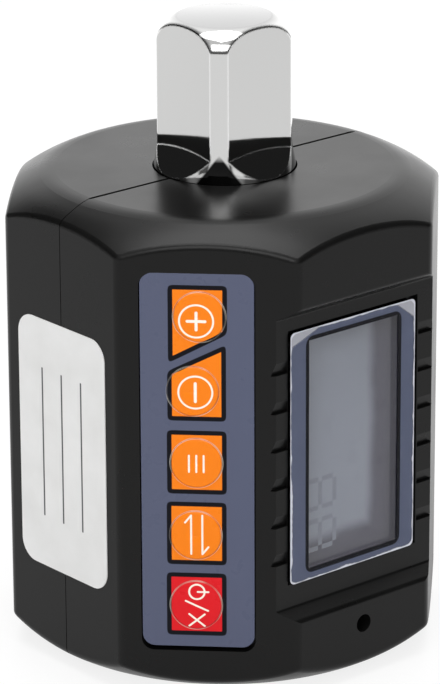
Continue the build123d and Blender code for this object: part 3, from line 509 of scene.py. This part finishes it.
# The detent ball and its spring: a polished ball of bearing steel, pushed outwards in the bore
# of the rear flat by a coil spring and kept in it by a staked lip.
BALL_STEEL, BALL_SHADE = (0.56, 0.56, 0.57), (0.42, 0.42, 0.43)
BALL_WEAR, BALL_ROUGHNESS = 0.5 * MM, (0.06, 0.2)

steel, tree, shader = finish_of("bearing_steel", BALL_STEEL, metallic=1.0)
wear = grain(tree, BALL_WEAR, 4)
feed(
    tree, shader,
    colour=tint(tree, wear, BALL_STEEL, BALL_SHADE),
    roughness=varied(tree, wear, *BALL_ROUGHNESS),
)
dress(steel, "detent_ball", "detent_spring")


# The seals: a pressed felt ring under the top hole and a moulded rubber ring in a groove of
# the socket end.
FELT_BLACK, FELT_GREY, RUBBER_BLACK = (0.012, 0.012, 0.013), (0.05, 0.05, 0.052), (0.014, 0.014, 0.014)
FIBRE_SIZE, FIBRE_DEPTH, FIBRE_SHOWS = 0.12 * MM, 0.04 * MM, (0.4, 0.75)
BLOOM_SIZE, RUBBER_ROUGHNESS = 1.5 * MM, (0.5, 0.75)
RUBBER_GRAIN, RUBBER_DEPTH = 0.1 * MM, 4e-6

felt, tree, shader = finish_of("pressed_felt", FELT_BLACK, roughness=0.95, shine=0.1)
fibres = grain(tree, FIBRE_SIZE, 5)
feed(tree, shader, colour=tint(tree, spread(tree, fibres, *FIBRE_SHOWS), FELT_BLACK, FELT_GREY))
emboss(tree, shader, fibres, FIBRE_DEPTH)
dress(felt, "upper_seal")

rubber, tree, shader = finish_of("ring_rubber", RUBBER_BLACK, roughness=0.6, shine=0.3)
bloom = grain(tree, BLOOM_SIZE, 4)
feed(
    tree, shader,
    colour=tint(tree, bloom, RUBBER_BLACK, FELT_GREY),
    roughness=varied(tree, bloom, *RUBBER_ROUGHNESS),
)
emboss(tree, shader, grain(tree, RUBBER_GRAIN, 2), RUBBER_DEPTH)
dress(rubber, "lower_seal")


# The strain gauges: copper foil etched in a meander on a thin film, glued round the neck
# and joined by a flexible circuit whose tongue runs to the main board.
FOIL_COPPER, FOIL_FILM = (0.7, 0.4, 0.2), (0.5, 0.32, 0.1)
POLYIMIDE, POLYIMIDE_DARK, COPPER = (0.5, 0.2, 0.03), (0.28, 0.1, 0.015), (0.75, 0.36, 0.17)
FOIL_PITCH, FOIL_ROUGHNESS = 0.55, (0.25, 0.4)
GAUGE_TRACES, KEYPAD_TRACES, TRACE_SHARE, TRACE_DEPTH = 0.6, 1.0, 0.42, 0.01 * MM
FILM_MOTTLE = 1.2 * MM


def stripes(tree, value, pitch, share=0.5, edge=0.06):
    """1 on the stripes that repeat at a pitch and cover a share of it."""
    phase = maths(tree, "SUBTRACT", maths(tree, "FRACT", maths(tree, "DIVIDE", value, pitch)), 0.5)
    return spread(tree, maths(tree, "ABSOLUTE", phase), share / 2 + edge, share / 2 - edge)


foil, tree, shader = finish_of("gauge_foil", FOIL_COPPER, metallic=0.4)
x, y, z = millimetres(tree)
lines = stripes(tree, z, FOIL_PITCH)
feed(
    tree, shader,
    colour=tint(tree, lines, FOIL_FILM, FOIL_COPPER),
    roughness=spread(tree, lines, 0, 1, *FOIL_ROUGHNESS),
)
dress(foil, "strain_gauges")

for name, axis, pitch in (("gauge_flex", "X", GAUGE_TRACES), ("keypad_circuit", "Z", KEYPAD_TRACES)):
    polyimide, tree, shader = finish_of(name + "_film", POLYIMIDE, roughness=0.24)
    traces = stripes(tree, millimetres(tree)[axis], pitch, TRACE_SHARE)
    mottle = tint(tree, grain(tree, FILM_MOTTLE, 3), POLYIMIDE, POLYIMIDE_DARK)
    feed(tree, shader, colour=tint(tree, traces, mottle, COPPER))
    emboss(tree, shader, traces, TRACE_DEPTH)
    dress(polyimide, name)


# The main board: glass fibre laminate under green solder mask, its copper tracks standing
# up a little. The parts on it are moulded in black epoxy.
MASK_GREEN, MASK_TRACK = (0.008, 0.09, 0.03), (0.015, 0.17, 0.055)
EPOXY, EPOXY_DUSTY = (0.012, 0.012, 0.013), (0.03, 0.03, 0.03)
EPOXY_DUST, DUST_SHOWS, EPOXY_ROUGHNESS = 0.8 * MM, (0.45, 0.8), (0.45, 0.65)
EPOXY_GRAIN, EPOXY_DEPTH = 0.08 * MM, 4e-6
TRACK_GRID, TRACK_BENDS, TRACK_WANDER, TRACK_DEPTH = 2.6, 7 * MM, 7.0, 0.03 * MM
UPRIGHT_SHARE, UPRIGHT_EDGE, LEVEL_SHARE, LEVEL_EDGE = 0.16, 0.03, 0.08, 0.02
TIN, TIN_SHADE = (0.55, 0.55, 0.54), (0.35, 0.35, 0.34)
TIN_WEAR, TIN_ROUGHNESS = 0.2 * MM, (0.2, 0.45)
LEG_ROWS = {
    "Count": 11, "Pitch": 0.6, "Left": -7.5, "Low": 31.7, "High": 39.3,
    "Width": 0.25, "Thickness": 0.3, "Reach": 0.9, "Back": -15.25,
}


def grown(name, material, settings, layout):
    """Piece grown by a geometry node tree, whose named inputs are the settings in millimetres."""
    tree = bpy.data.node_groups.new(name, "GeometryNodeTree")
    for key, value in settings.items():
        kind = "NodeSocketInt" if isinstance(value, int) else "NodeSocketFloat"
        tree.interface.new_socket(key, in_out="INPUT", socket_type=kind)
    tree.interface.new_socket("Geometry", in_out="OUTPUT", socket_type="NodeSocketGeometry")
    shape = layout(tree, add(tree, "NodeGroupInput").outputs)
    shape = add(tree, "GeometryNodeTransform", {"Geometry": shape, "Scale": (MM, MM, MM)}).outputs[0]
    shape = add(tree, "GeometryNodeRealizeInstances", (shape,)).outputs[0]
    shape = add(tree, "GeometryNodeSetMaterial", {"Geometry": shape, "Material": material}).outputs[0]
    add(tree, "NodeGroupOutput", (shape,))
    holder = bpy.data.objects.new(name, bpy.data.meshes.new(name))
    scene.collection.objects.link(holder)
    grower = holder.modifiers.new("grown", "NODES")
    grower.node_group = tree
    for item in tree.interface.items_tree:
        if item.in_out == "INPUT":
            grower[item.identifier] = settings[item.name]
    bpy.context.view_layer.update()
    evaluated = holder.evaluated_get(bpy.context.evaluated_depsgraph_get())
    mesh = bpy.data.meshes.new_from_object(evaluated)
    bpy.data.objects.remove(holder)
    piece = bpy.data.objects.new(name, mesh)
    scene.collection.objects.link(piece)
    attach(piece, "body")


def vector(tree, x=0.0, y=0.0, z=0.0):
    """Vector of three sockets or plain values."""
    return add(tree, "ShaderNodeCombineXYZ", (x, y, z)).outputs[0]


def row(tree, shape, count, start, step):
    """Copies of a shape along a straight row."""
    inputs = {"Count": count, "Start Location": start, "Offset": step}
    line = add(tree, "GeometryNodeMeshLine", inputs).outputs[0]
    return add(tree, "GeometryNodeInstanceOnPoints", {"Points": line, "Instance": shape}).outputs[0]


def joined(tree, *shapes):
    """Several shapes as one."""
    join = add(tree, "GeometryNodeJoinGeometry")
    for shape in shapes:
        tree.links.new(shape, join.inputs[0])
    return join.outputs[0]


def leg_rows(tree, given):
    """The processor's soldered legs along its lower and upper edge."""
    size = vector(tree, given["Width"], given["Thickness"], given["Reach"])
    leg = add(tree, "GeometryNodeMeshCube", {"Size": size}).outputs[0]
    step = vector(tree, given["Pitch"])
    starts = [vector(tree, given["Left"], given["Back"], given[side]) for side in ("Low", "High")]
    return joined(tree, *(row(tree, leg, given["Count"], start, step) for start in starts))


board, tree, shader = finish_of("solder_mask", MASK_GREEN, roughness=0.3)
x, y, z = millimetres(tree)
wander = varied(tree, grain(tree, TRACK_BENDS, 1), 0.0, TRACK_WANDER)
aside = maths(tree, "ADD", x, maths(tree, "SNAP", wander, 1.0))
upwards = maths(tree, "ADD", z, maths(tree, "SNAP", wander, 2.0))
tracks = maths(
    tree, "MAXIMUM",
    stripes(tree, aside, TRACK_GRID, UPRIGHT_SHARE, UPRIGHT_EDGE),
    stripes(tree, upwards, TRACK_GRID * 2, LEVEL_SHARE, LEVEL_EDGE),
)
feed(tree, shader, colour=tint(tree, tracks, MASK_GREEN, MASK_TRACK))
emboss(tree, shader, tracks, TRACK_DEPTH)
dress(board, "main_board")

epoxy, tree, shader = finish_of("moulded_epoxy", EPOXY, shine=0.4)
dust = grain(tree, EPOXY_DUST, 4)
feed(
    tree, shader,
    colour=tint(tree, spread(tree, dust, *DUST_SHOWS), EPOXY, EPOXY_DUSTY),
    roughness=varied(tree, dust, *EPOXY_ROUGHNESS),
)
emboss(tree, shader, grain(tree, EPOXY_GRAIN, 2), EPOXY_DEPTH)
dress(epoxy, "board_components", "buzzer")

tin, tree, shader = finish_of("tinned_legs", TIN, metallic=1.0)
wear = grain(tree, TIN_WEAR, 3)
feed(tree, shader, colour=tint(tree, wear, TIN, TIN_SHADE), roughness=varied(tree, wear, *TIN_ROUGHNESS))
grown("processor_legs", tin, LEG_ROWS, leg_rows)


# The display: a reflective glass in a moulded holder on two layered rubber strips, under a
# clear plate with a printed border. A protective film still covers the plate, lifting at
# its edges and corners, where its whitish look is painted highlight.
GLASS_LIGHT, GLASS_SHADE = (0.285, 0.305, 0.365), (0.082, 0.077, 0.115)
LIT_BOX, LIT_ROUND, LIT_EDGE = (-9.5, 4.2, 17.4, 50.0), 0.5, (0.9, -1.1)
GLASS_CLOUD, CLOUD_SHIFT = 11 * MM, 0.3
GLASS_HAZE, GLASS_ROUGHNESS = 3 * MM, (0.25, 0.35)
SEGMENT_TONE, SEGMENT_DARKER, SEGMENT_GRAIN = (0.235, 0.252, 0.305), (0.21, 0.225, 0.275), 1.5 * MM
DIGIT_ROWS = {
    "Digits": 2, "Pitch": 5.1, "Foot": -6.0, "Top": 25.0, "Height": 4.5,
    "Width": 3.5, "Stroke": 0.6, "Thickness": 0.01, "Front": -20.92,
}
HOLDER_GREY, HOLDER_WEAR, HOLDER_ROUGHNESS = (0.1, 0.092, 0.12), 2 * MM, (0.4, 0.6)
HOLDER_GRAIN, HOLDER_DEPTH = 0.2 * MM, 4e-6
STRIP_PINK, STRIP_BLACK, LAYER_PITCH = (0.55, 0.4, 0.38), (0.02, 0.02, 0.02), 0.3
PLATE_CLEAR, PLATE_IOR, PLATE_WAVE, PLATE_DEPTH = (0.95, 0.96, 0.97), 1.49, 6 * MM, 1e-6
WINDOW = (-7.4, 6.45, 15.3, 43.55)
BORDER_LINE, BORDER_ROUND, EDGE_BLUR = 0.5, 1.1, 0.03
UNDER_PLATE, PRINT_BLACK = (0.087, 0.101, 0.158), (0.002, 0.002, 0.005)
BORDER_GRAIN, BORDER_ROUGHNESS = 2 * MM, (0.3, 0.42)
FILM_LILAC, FILM_BOX, FILM_ROUND = (0.72, 0.73, 0.8), (-10.25, 9.05, 14.0, 45.0), 1.0
FILM_RAGS, RAGGED_BY, RIM_EDGE, RIM_HIGHLIGHT = 2.2 * MM, (-0.2, 0.12), (0.18, 0.05), 0.85
LEFT_SLANT, LEFT_LIFTED, RIGHT_SLANT, RIGHT_LIFTED = 0.37, (1.9, 1.6), 0.76, (2.5, 2.2)
LIFTED_SHEEN, FLAT_COVER = 0.5, 0.004
FILM_WAVE, FILM_DEPTH = 4 * MM, 6e-6


def box_distance(tree, across, up, box, corner):
    """Distance outside a rounded rectangle given as left, right, low and high."""
    sides = []
    for value, start, end in ((across, *box[:2]), (up, *box[2:])):
        away = maths(tree, "ABSOLUTE", maths(tree, "SUBTRACT", value, (start + end) / 2))
        sides.append(maths(tree, "SUBTRACT", away, (end - start) / 2 - corner))
    outside = [maths(tree, "MAXIMUM", side, 0.0) for side in sides]
    squares = maths(tree, "ADD", *(maths(tree, "MULTIPLY", side, side) for side in outside))
    within = maths(tree, "MINIMUM", maths(tree, "MAXIMUM", *sides), 0.0)
    return maths(tree, "SUBTRACT", maths(tree, "ADD", maths(tree, "SQRT", squares), within), corner)


def inked(tree, distance, blur=EDGE_BLUR):
    """1 inside a shape and 0 outside it, from its distance."""
    return spread(tree, distance, blur, -blur)


def digit_rows(tree, given):
    """Seven-segment digits that read turned a quarter clockwise, faint on the glass."""
    stroke, tall, wide = given["Stroke"], given["Height"], given["Width"]
    thick = given["Thickness"]
    long_bar = vector(tree, stroke, thick, maths(tree, "SUBTRACT", wide, stroke))
    long_bar = add(tree, "GeometryNodeMeshCube", {"Size": long_bar}).outputs[0]
    half_height = maths(tree, "MULTIPLY", tall, 0.5)
    short_bar = vector(tree, maths(tree, "SUBTRACT", half_height, stroke), thick, stroke)
    short_bar = add(tree, "GeometryNodeMeshCube", {"Size": short_bar}).outputs[0]
    step = vector(tree, half_height)
    half_width = maths(tree, "MULTIPLY", wide, 0.5)
    first = maths(tree, "MULTIPLY", tall, 0.25)
    sides = (half_width, maths(tree, "MULTIPLY", half_width, -1.0))
    uprights = [row(tree, short_bar, 2, vector(tree, first, 0.0, side), step) for side in sides]
    digit = joined(tree, row(tree, long_bar, 3, vector(tree), step), *uprights)
    start = vector(tree, given["Foot"], given["Front"], maths(tree, "SUBTRACT", given["Top"], half_width))
    down = vector(tree, 0.0, 0.0, maths(tree, "MULTIPLY", given["Pitch"], -1.0))
    return row(tree, digit, given["Digits"], start, down)


panel, tree, shader = finish_of("display_glass", GLASS_LIGHT, shine=0.1)
x, y, z = millimetres(tree)
off_light = box_distance(tree, x, z, LIT_BOX, LIT_ROUND)
cloud = varied(tree, grain(tree, GLASS_CLOUD, 1), -CLOUD_SHIFT, CLOUD_SHIFT)
lit = spread(tree, maths(tree, "ADD", off_light, cloud), *LIT_EDGE, smooth=True)
feed(
    tree, shader,
    colour=tint(tree, lit, GLASS_SHADE, GLASS_LIGHT),
    roughness=varied(tree, grain(tree, GLASS_HAZE, 2), *GLASS_ROUGHNESS),
)
dress(panel, "lcd_panel")

segments, tree, shader = finish_of("unlit_segments", SEGMENT_TONE, roughness=0.3, shine=0.1)
feed(tree, shader, colour=tint(tree, grain(tree, SEGMENT_GRAIN, 2), SEGMENT_TONE, SEGMENT_DARKER))
grown("unlit_digits", segments, DIGIT_ROWS, digit_rows)

holder, tree, shader = finish_of("holder_grey", HOLDER_GREY, shine=0.3)
feed(tree, shader, roughness=varied(tree, grain(tree, HOLDER_WEAR, 3), *HOLDER_ROUGHNESS))
emboss(tree, shader, grain(tree, HOLDER_GRAIN, 2), HOLDER_DEPTH)
dress(holder, "lcd_holder")

strip, tree, shader = finish_of("layered_rubber", STRIP_PINK, roughness=0.6)
x, y, z = millimetres(tree)
layers = stripes(tree, z, LAYER_PITCH)
feed(tree, shader, colour=tint(tree, layers, STRIP_PINK, STRIP_BLACK))
dress(strip, "contact_strips")

clear, tree, shader = finish_of("clear_plate", PLATE_CLEAR, roughness=0.02, shine=0.04)
shader.inputs["Transmission Weight"].default_value = 1.0
shader.inputs["IOR"].default_value = PLATE_IOR
emboss(tree, shader, grain(tree, PLATE_WAVE, 2), PLATE_DEPTH)
rays = add(tree, "ShaderNodeLightPath").outputs
unshaded = add(tree, "ShaderNodeBsdfTransparent")
pane = add(tree, "ShaderNodeMixShader", (rays["Is Shadow Ray"], shader.outputs[0], unshaded.outputs[0]))
output = next(node for node in tree.nodes if node.type == "OUTPUT_MATERIAL")
tree.links.new(pane.outputs[0], output.inputs[0])
dress(clear, "lcd_lens")

border, tree, shader = finish_of("border_print", UNDER_PLATE, shine=0.12)
x, y, z = millimetres(tree)
line_box = tuple(side + sign * BORDER_LINE for side, sign in zip(WINDOW, (-1, 1, -1, 1)))
line = inked(tree, box_distance(tree, x, z, line_box, BORDER_ROUND))
feed(
    tree, shader,
    colour=tint(tree, line, UNDER_PLATE, PRINT_BLACK),
    roughness=varied(tree, grain(tree, BORDER_GRAIN, 3), *BORDER_ROUGHNESS),
)
dress(border, "lens_border")

film, tree, shader = finish_of("protective_film", FILM_LILAC, roughness=0.12, shine=0.12)
x, y, z = millimetres(tree)
film_left, film_right, _, film_top = FILM_BOX
# The film's rim and its lifted corners are painted whitish: the lifting is real, the brightness on it is
# painted highlight.
inside = maths(tree, "MULTIPLY", box_distance(tree, x, z, FILM_BOX, FILM_ROUND), -1.0)
ragged = varied(tree, grain(tree, FILM_RAGS, 3), *RAGGED_BY)
rim_highlight = spread(tree, maths(tree, "ADD", inside, ragged), *RIM_EDGE)
below_top = maths(tree, "SUBTRACT", film_top, z)
left = maths(tree, "MULTIPLY_ADD", maths(tree, "SUBTRACT", x, film_left), LEFT_SLANT, below_top)
right = maths(tree, "MULTIPLY_ADD", maths(tree, "SUBTRACT", film_right, x), RIGHT_SLANT, below_top)
lifted_sheen = maths(tree, "MAXIMUM", spread(tree, left, *LEFT_LIFTED), spread(tree, right, *RIGHT_LIFTED))
lifted_sheen = maths(tree, "MULTIPLY", lifted_sheen, LIFTED_SHEEN)
sheen_cover = maths(tree, "MAXIMUM", maths(tree, "MULTIPLY", rim_highlight, RIM_HIGHLIGHT), lifted_sheen)
feed(tree, shader, alpha=maths(tree, "MAXIMUM", sheen_cover, FLAT_COVER))
emboss(tree, shader, grain(tree, FILM_WAVE, 2), FILM_DEPTH)
dress(film, "lens_film")


# The membrane keypad: a circuit sheet, a bored spacer and a printed front sheet, glued in
# the seat of the diagonal face. Its five round keys are pressed out of the front sheet.
BLUE_GREY, ORANGE, RED = (0.091, 0.103, 0.162), (0.9, 0.215, 0.006), (0.71, 0.01, 0.016)
CREAM = (0.93, 0.87, 0.76)
DIAGONAL = sqrt(0.5)
# Lengths on the printed face are in millimetres: across towards the display, then up.
FRAME_LINE, FRAME_GROWTH, OUTER_ROUND, INNER_ROUND = 0.42, 0.13, 0.9, 0.12
KEY_FRAMES = {
    # corners, clockwise from the upper left
    "plus": ((-4.43, 50.87), (2.1, 50.87), (2.1, 45.23), (-4.43, 41.77)),
    "minus": ((-4.55, 40.49), (1.95, 43.71), (1.95, 34.7), (-4.55, 34.7)),
    "mode": ((-4.65, 33.25), (1.99, 33.25), (1.99, 25.7), (-4.65, 25.7)),
    "unit": ((-4.73, 24.44), (1.95, 24.44), (1.95, 16.9), (-4.73, 16.9)),
    "power": ((-4.8, 15.6), (1.92, 15.6), (1.92, 8.0), (-4.8, 8.0)),
}
SYMBOL_PLACES = {
    "plus": (-1.29, 46.76),
    "minus": (-1.43, 38.14),
    "mode": (-1.37, 29.4),
    "unit": (-1.37, 20.6),
    "power": (-1.4, 11.7),
}
RING_RADIUS, STROKE, BOLD_STROKE = 1.95, 0.11, 0.17
POWER_RING, POWER_RADIUS = (-1.75, 0), 0.9
KEY_CENTRES = ((-0.95, 47.2), (-1.75, 38.2), (-1.38, 29.4), (-1.5, 20.45), (-1.5, 11.7))
KEY_EDGE, KEY_GLINT_WIDTH, KEY_GLINT = 3.03, 0.08, 0.45
GLINT_GRAIN, GLINT_SHOWS, GLINT_LEVELS = 2.5 * MM, (0.35, 0.6), (0.3, 1.0)
PRINT_WEAR, PRINT_ROUGHNESS = 2 * MM, (0.26, 0.36)
PRINT_GRAIN, PRINT_DEPTH = 0.25 * MM, 1.2e-6
SYMBOL_STROKES = {
    # ends of each stroke from the symbol's middle, as the symbol is read
    "plus": [((-1.02, 0), (1.02, 0)), ((0, -1.02), (0, 1.02))],
    "minus": [((-1.1, 0), (1.1, 0))],
    "mode": [((-1.0, 0.85), (1.0, 0.85)), ((-1.0, 0), (1.0, 0)), ((-1.0, -0.85), (1.0, -0.85))],
    "unit": [
        ((-2.4, 0.65), (2.4, 0.65)), ((1.5, 1.35), (2.4, 0.65)),
        ((-2.4, -0.65), (2.4, -0.65)), ((-1.5, -1.35), (-2.4, -0.65)),
    ],
    "power": [
        ((-1.75, 0.1), (-1.75, 1.35)), ((-0.6, -1.3), (0.6, 1.3)),
        ((1.05, -0.9), (2.55, 0.9)), ((1.05, 0.9), (2.55, -0.9)),
    ],
}
ADHESIVE, ADHESIVE_CLOUD, CLOUD_GRAIN = (0.35, 0.36, 0.4), (0.5, 0.5, 0.52), 2 * MM
DOME_NICKEL, DOME_SHADE = (0.62, 0.6, 0.56), (0.45, 0.43, 0.4)
DOME_WEAR, DOME_ROUGHNESS = 0.6 * MM, (0.15, 0.32)


def polygon_distance(tree, across, up, corners, softness):
    """Distance outside a convex polygon given clockwise, its corners eased by a softness."""
    distance = None
    for start, end in zip(corners, corners[1:] + corners[:1]):
        along = (Vector(end) - Vector(start)).normalized()
        outward = Vector((-along.y, along.x))
        side = maths(tree, "MULTIPLY_ADD", up, outward.y, -outward.dot(Vector(start)))
        side = maths(tree, "MULTIPLY_ADD", across, outward.x, side)
        distance = side if distance is None else maths(tree, "SMOOTH_MAX", distance, side, softness)
    return distance


def stroke_distance(tree, point, start, end):
    """Distance from the straight line between two points."""
    start, along = Vector((*start, 0)), Vector((*end, 0)) - Vector((*start, 0))
    offset = add(tree, "ShaderNodeVectorMath", (point, tuple(start)), operation="SUBTRACT").outputs[0]
    scale = tuple(along / along.length_squared)
    share = add(tree, "ShaderNodeClamp", (dot(tree, offset, scale),)).outputs[0]
    foot = add(tree, "ShaderNodeVectorMath", {0: tuple(along), "Scale": share}, operation="SCALE").outputs[0]
    return add(tree, "ShaderNodeVectorMath", (offset, foot), operation="DISTANCE").outputs["Value"]


def circle_distance(tree, point, centre, radius):
    """Distance from the line of a circle."""
    away = add(tree, "ShaderNodeVectorMath", (point, (*centre, 0)), operation="DISTANCE").outputs["Value"]
    return maths(tree, "ABSOLUTE", maths(tree, "SUBTRACT", away, radius))


def least(tree, distances):
    """Smallest of several distances."""
    result = distances[0]
    for other in distances[1:]:
        result = maths(tree, "MINIMUM", result, other)
    return result


def on_key_face(place, local):
    """Point of the keypad face for a point of a symbol, which is read turned a quarter clockwise."""
    return (place[0] + local[1], place[1] - local[0])


adhesive, tree, shader = finish_of("adhesive_sheet", ADHESIVE, roughness=0.6, shine=0.3)
feed(tree, shader, colour=tint(tree, grain(tree, CLOUD_GRAIN, 4), ADHESIVE, ADHESIVE_CLOUD))
dress(adhesive, "keypad_spacer")

nickel, tree, shader = finish_of("nickel_plate", DOME_NICKEL, metallic=1.0)
wear = grain(tree, DOME_WEAR, 4)
feed(
    tree, shader,
    colour=tint(tree, wear, DOME_NICKEL, DOME_SHADE),
    roughness=varied(tree, wear, *DOME_ROUGHNESS),
)
dress(nickel, "snap_domes", "contact_plates", "contact_springs")

overlay, tree, shader = finish_of("keypad_print", BLUE_GREY, shine=0.14)
x, y, z = millimetres(tree)
across = maths(tree, "MULTIPLY", maths(tree, "SUBTRACT", x, y), DIAGONAL)
outer, inner = (
    {key: polygon_distance(tree, across, z, list(corners), ease) for key, corners in KEY_FRAMES.items()}
    for ease in (OUTER_ROUND, INNER_ROUND)
)
orange_keys = least(tree, [inner[key] for key in ("plus", "minus", "mode", "unit")])
all_keys = maths(tree, "SUBTRACT", least(tree, list(outer.values())), FRAME_GROWTH)
point = add(tree, "ShaderNodeCombineXYZ", (across, z, 0.0)).outputs[0]
thin, bold = [], []
for key, strokes in SYMBOL_STROKES.items():
    place = SYMBOL_PLACES[key]
    group = bold if key in ("plus", "minus") else thin
    for start, end in strokes:
        group.append(stroke_distance(tree, point, on_key_face(place, start), on_key_face(place, end)))
for key in ("plus", "minus"):
    thin.append(circle_distance(tree, point, SYMBOL_PLACES[key], RING_RADIUS))
power_ring = on_key_face(SYMBOL_PLACES["power"], POWER_RING)
thin.append(circle_distance(tree, point, power_ring, POWER_RADIUS))
symbols = maths(
    tree, "MINIMUM",
    maths(tree, "SUBTRACT", least(tree, thin), STROKE),
    maths(tree, "SUBTRACT", least(tree, bold), BOLD_STROKE),
)
colour = tint(tree, inked(tree, all_keys), BLUE_GREY, PRINT_BLACK)
colour = tint(tree, inked(tree, maths(tree, "ADD", orange_keys, FRAME_LINE)), colour, ORANGE)
colour = tint(tree, inked(tree, maths(tree, "ADD", inner["power"], FRAME_LINE)), colour, RED)
colour = tint(tree, inked(tree, symbols), colour, CREAM)
edges = least(tree, [circle_distance(tree, point, centre, KEY_EDGE) for centre in KEY_CENTRES])
glint = maths(tree, "MULTIPLY", inked(tree, maths(tree, "SUBTRACT", edges, KEY_GLINT_WIDTH)), KEY_GLINT)
patches = spread(tree, grain(tree, GLINT_GRAIN, 1), *GLINT_SHOWS, *GLINT_LEVELS)
colour = tint(tree, maths(tree, "MULTIPLY", glint, patches), colour, CREAM)
feed(tree, shader, colour=colour, roughness=varied(tree, grain(tree, PRINT_WEAR, 3), *PRINT_ROUGHNESS))
emboss(tree, shader, grain(tree, PRINT_GRAIN, 2), PRINT_DEPTH)
dress(overlay, "keypad_overlay", "plus_key", "minus_key", "mode_key", "unit_key", "power_key")


# The battery bay: two AAA cells in shrink sleeves between nickelled plates and springs, and
# two insulated leads to the main board, red from the positive plate and black from the other.
SLEEVE, SLEEVE_BAND, CELL_STEEL = (0.02, 0.045, 0.1), (0.5, 0.5, 0.5), (0.5, 0.5, 0.5)
BAND_HEIGHTS, BAND_EDGE = {"cell_left": 41.0, "cell_right": 16.0}, (4.1, 4.0)
BARE_LEAN, SLEEVE_GRAIN, SLEEVE_ROUGHNESS = (0.6, 0.8), 3 * MM, (0.22, 0.35)
LEAD_RED, LEAD_BLACK, LEAD_SPLIT = (0.45, 0.012, 0.01), (0.014, 0.014, 0.014), (-0.1, 0.1)
LEAD_GRAIN, LEAD_ROUGHNESS = 1 * MM, (0.38, 0.55)

for name, band_height in BAND_HEIGHTS.items():
    sleeve, tree, shader = finish_of(name + "_sleeve", SLEEVE)
    x, y, z = millimetres(tree)
    band = spread(tree, maths(tree, "ABSOLUTE", maths(tree, "SUBTRACT", z, band_height)), *BAND_EDGE)
    normal = add(tree, "ShaderNodeNewGeometry").outputs["Normal"]
    upright = maths(tree, "ABSOLUTE", add(tree, "ShaderNodeSeparateXYZ", (normal,)).outputs["Z"])
    bare = spread(tree, upright, *BARE_LEAN)
    feed(
        tree, shader,
        colour=tint(tree, bare, tint(tree, band, SLEEVE, SLEEVE_BAND), CELL_STEEL),
        roughness=varied(tree, grain(tree, SLEEVE_GRAIN, 3), *SLEEVE_ROUGHNESS),
    )
    tree.links.new(bare, shader.inputs["Metallic"])
    dress(sleeve, name)

wire, tree, shader = finish_of("lead_insulation", LEAD_RED)
x, y, z = millimetres(tree)
feed(
    tree, shader,
    colour=tint(tree, spread(tree, x, *LEAD_SPLIT), LEAD_BLACK, LEAD_RED),
    roughness=varied(tree, grain(tree, LEAD_GRAIN, 3), *LEAD_ROUGHNESS),
)
dress(wire, "battery_leads")


# The label: a white vinyl sticker with three thin ruled lines, stuck on the side face across
# the seam between the housing halves.
LABEL_WHITE, LABEL_CREASE, RULE_GREY = (0.79, 0.79, 0.785), (0.72, 0.72, 0.71), (0.05, 0.05, 0.055)
RULE_SIDES, RULE_TOP, RULE_FOOT, RULE_HALF = (-3.6, 0.0, 3.6), 37.0, 18.6, 0.13
CREASE_SIZE, CREASE_SHOWS, LABEL_WAVE, LABEL_DEPTH = 5 * MM, (0.3, 0.8), 4 * MM, 0.02 * MM

vinyl, tree, shader = finish_of("white_vinyl", LABEL_WHITE, roughness=0.35, shine=0.35)
x, y, z = millimetres(tree)
point = add(tree, "ShaderNodeCombineXYZ", (y, z, 0.0)).outputs[0]
rules = [stroke_distance(tree, point, (side, RULE_TOP), (side, RULE_FOOT)) for side in RULE_SIDES]
rules = inked(tree, maths(tree, "SUBTRACT", least(tree, rules), RULE_HALF))
creased = spread(tree, grain(tree, CREASE_SIZE, 3), *CREASE_SHOWS)
sticker = tint(tree, creased, LABEL_WHITE, LABEL_CREASE)
feed(tree, shader, colour=tint(tree, rules, sticker, RULE_GREY))
emboss(tree, shader, grain(tree, LABEL_WAVE, 2), LABEL_DEPTH)
dress(vinyl, "side_label")


bpy.context.view_layer.update()
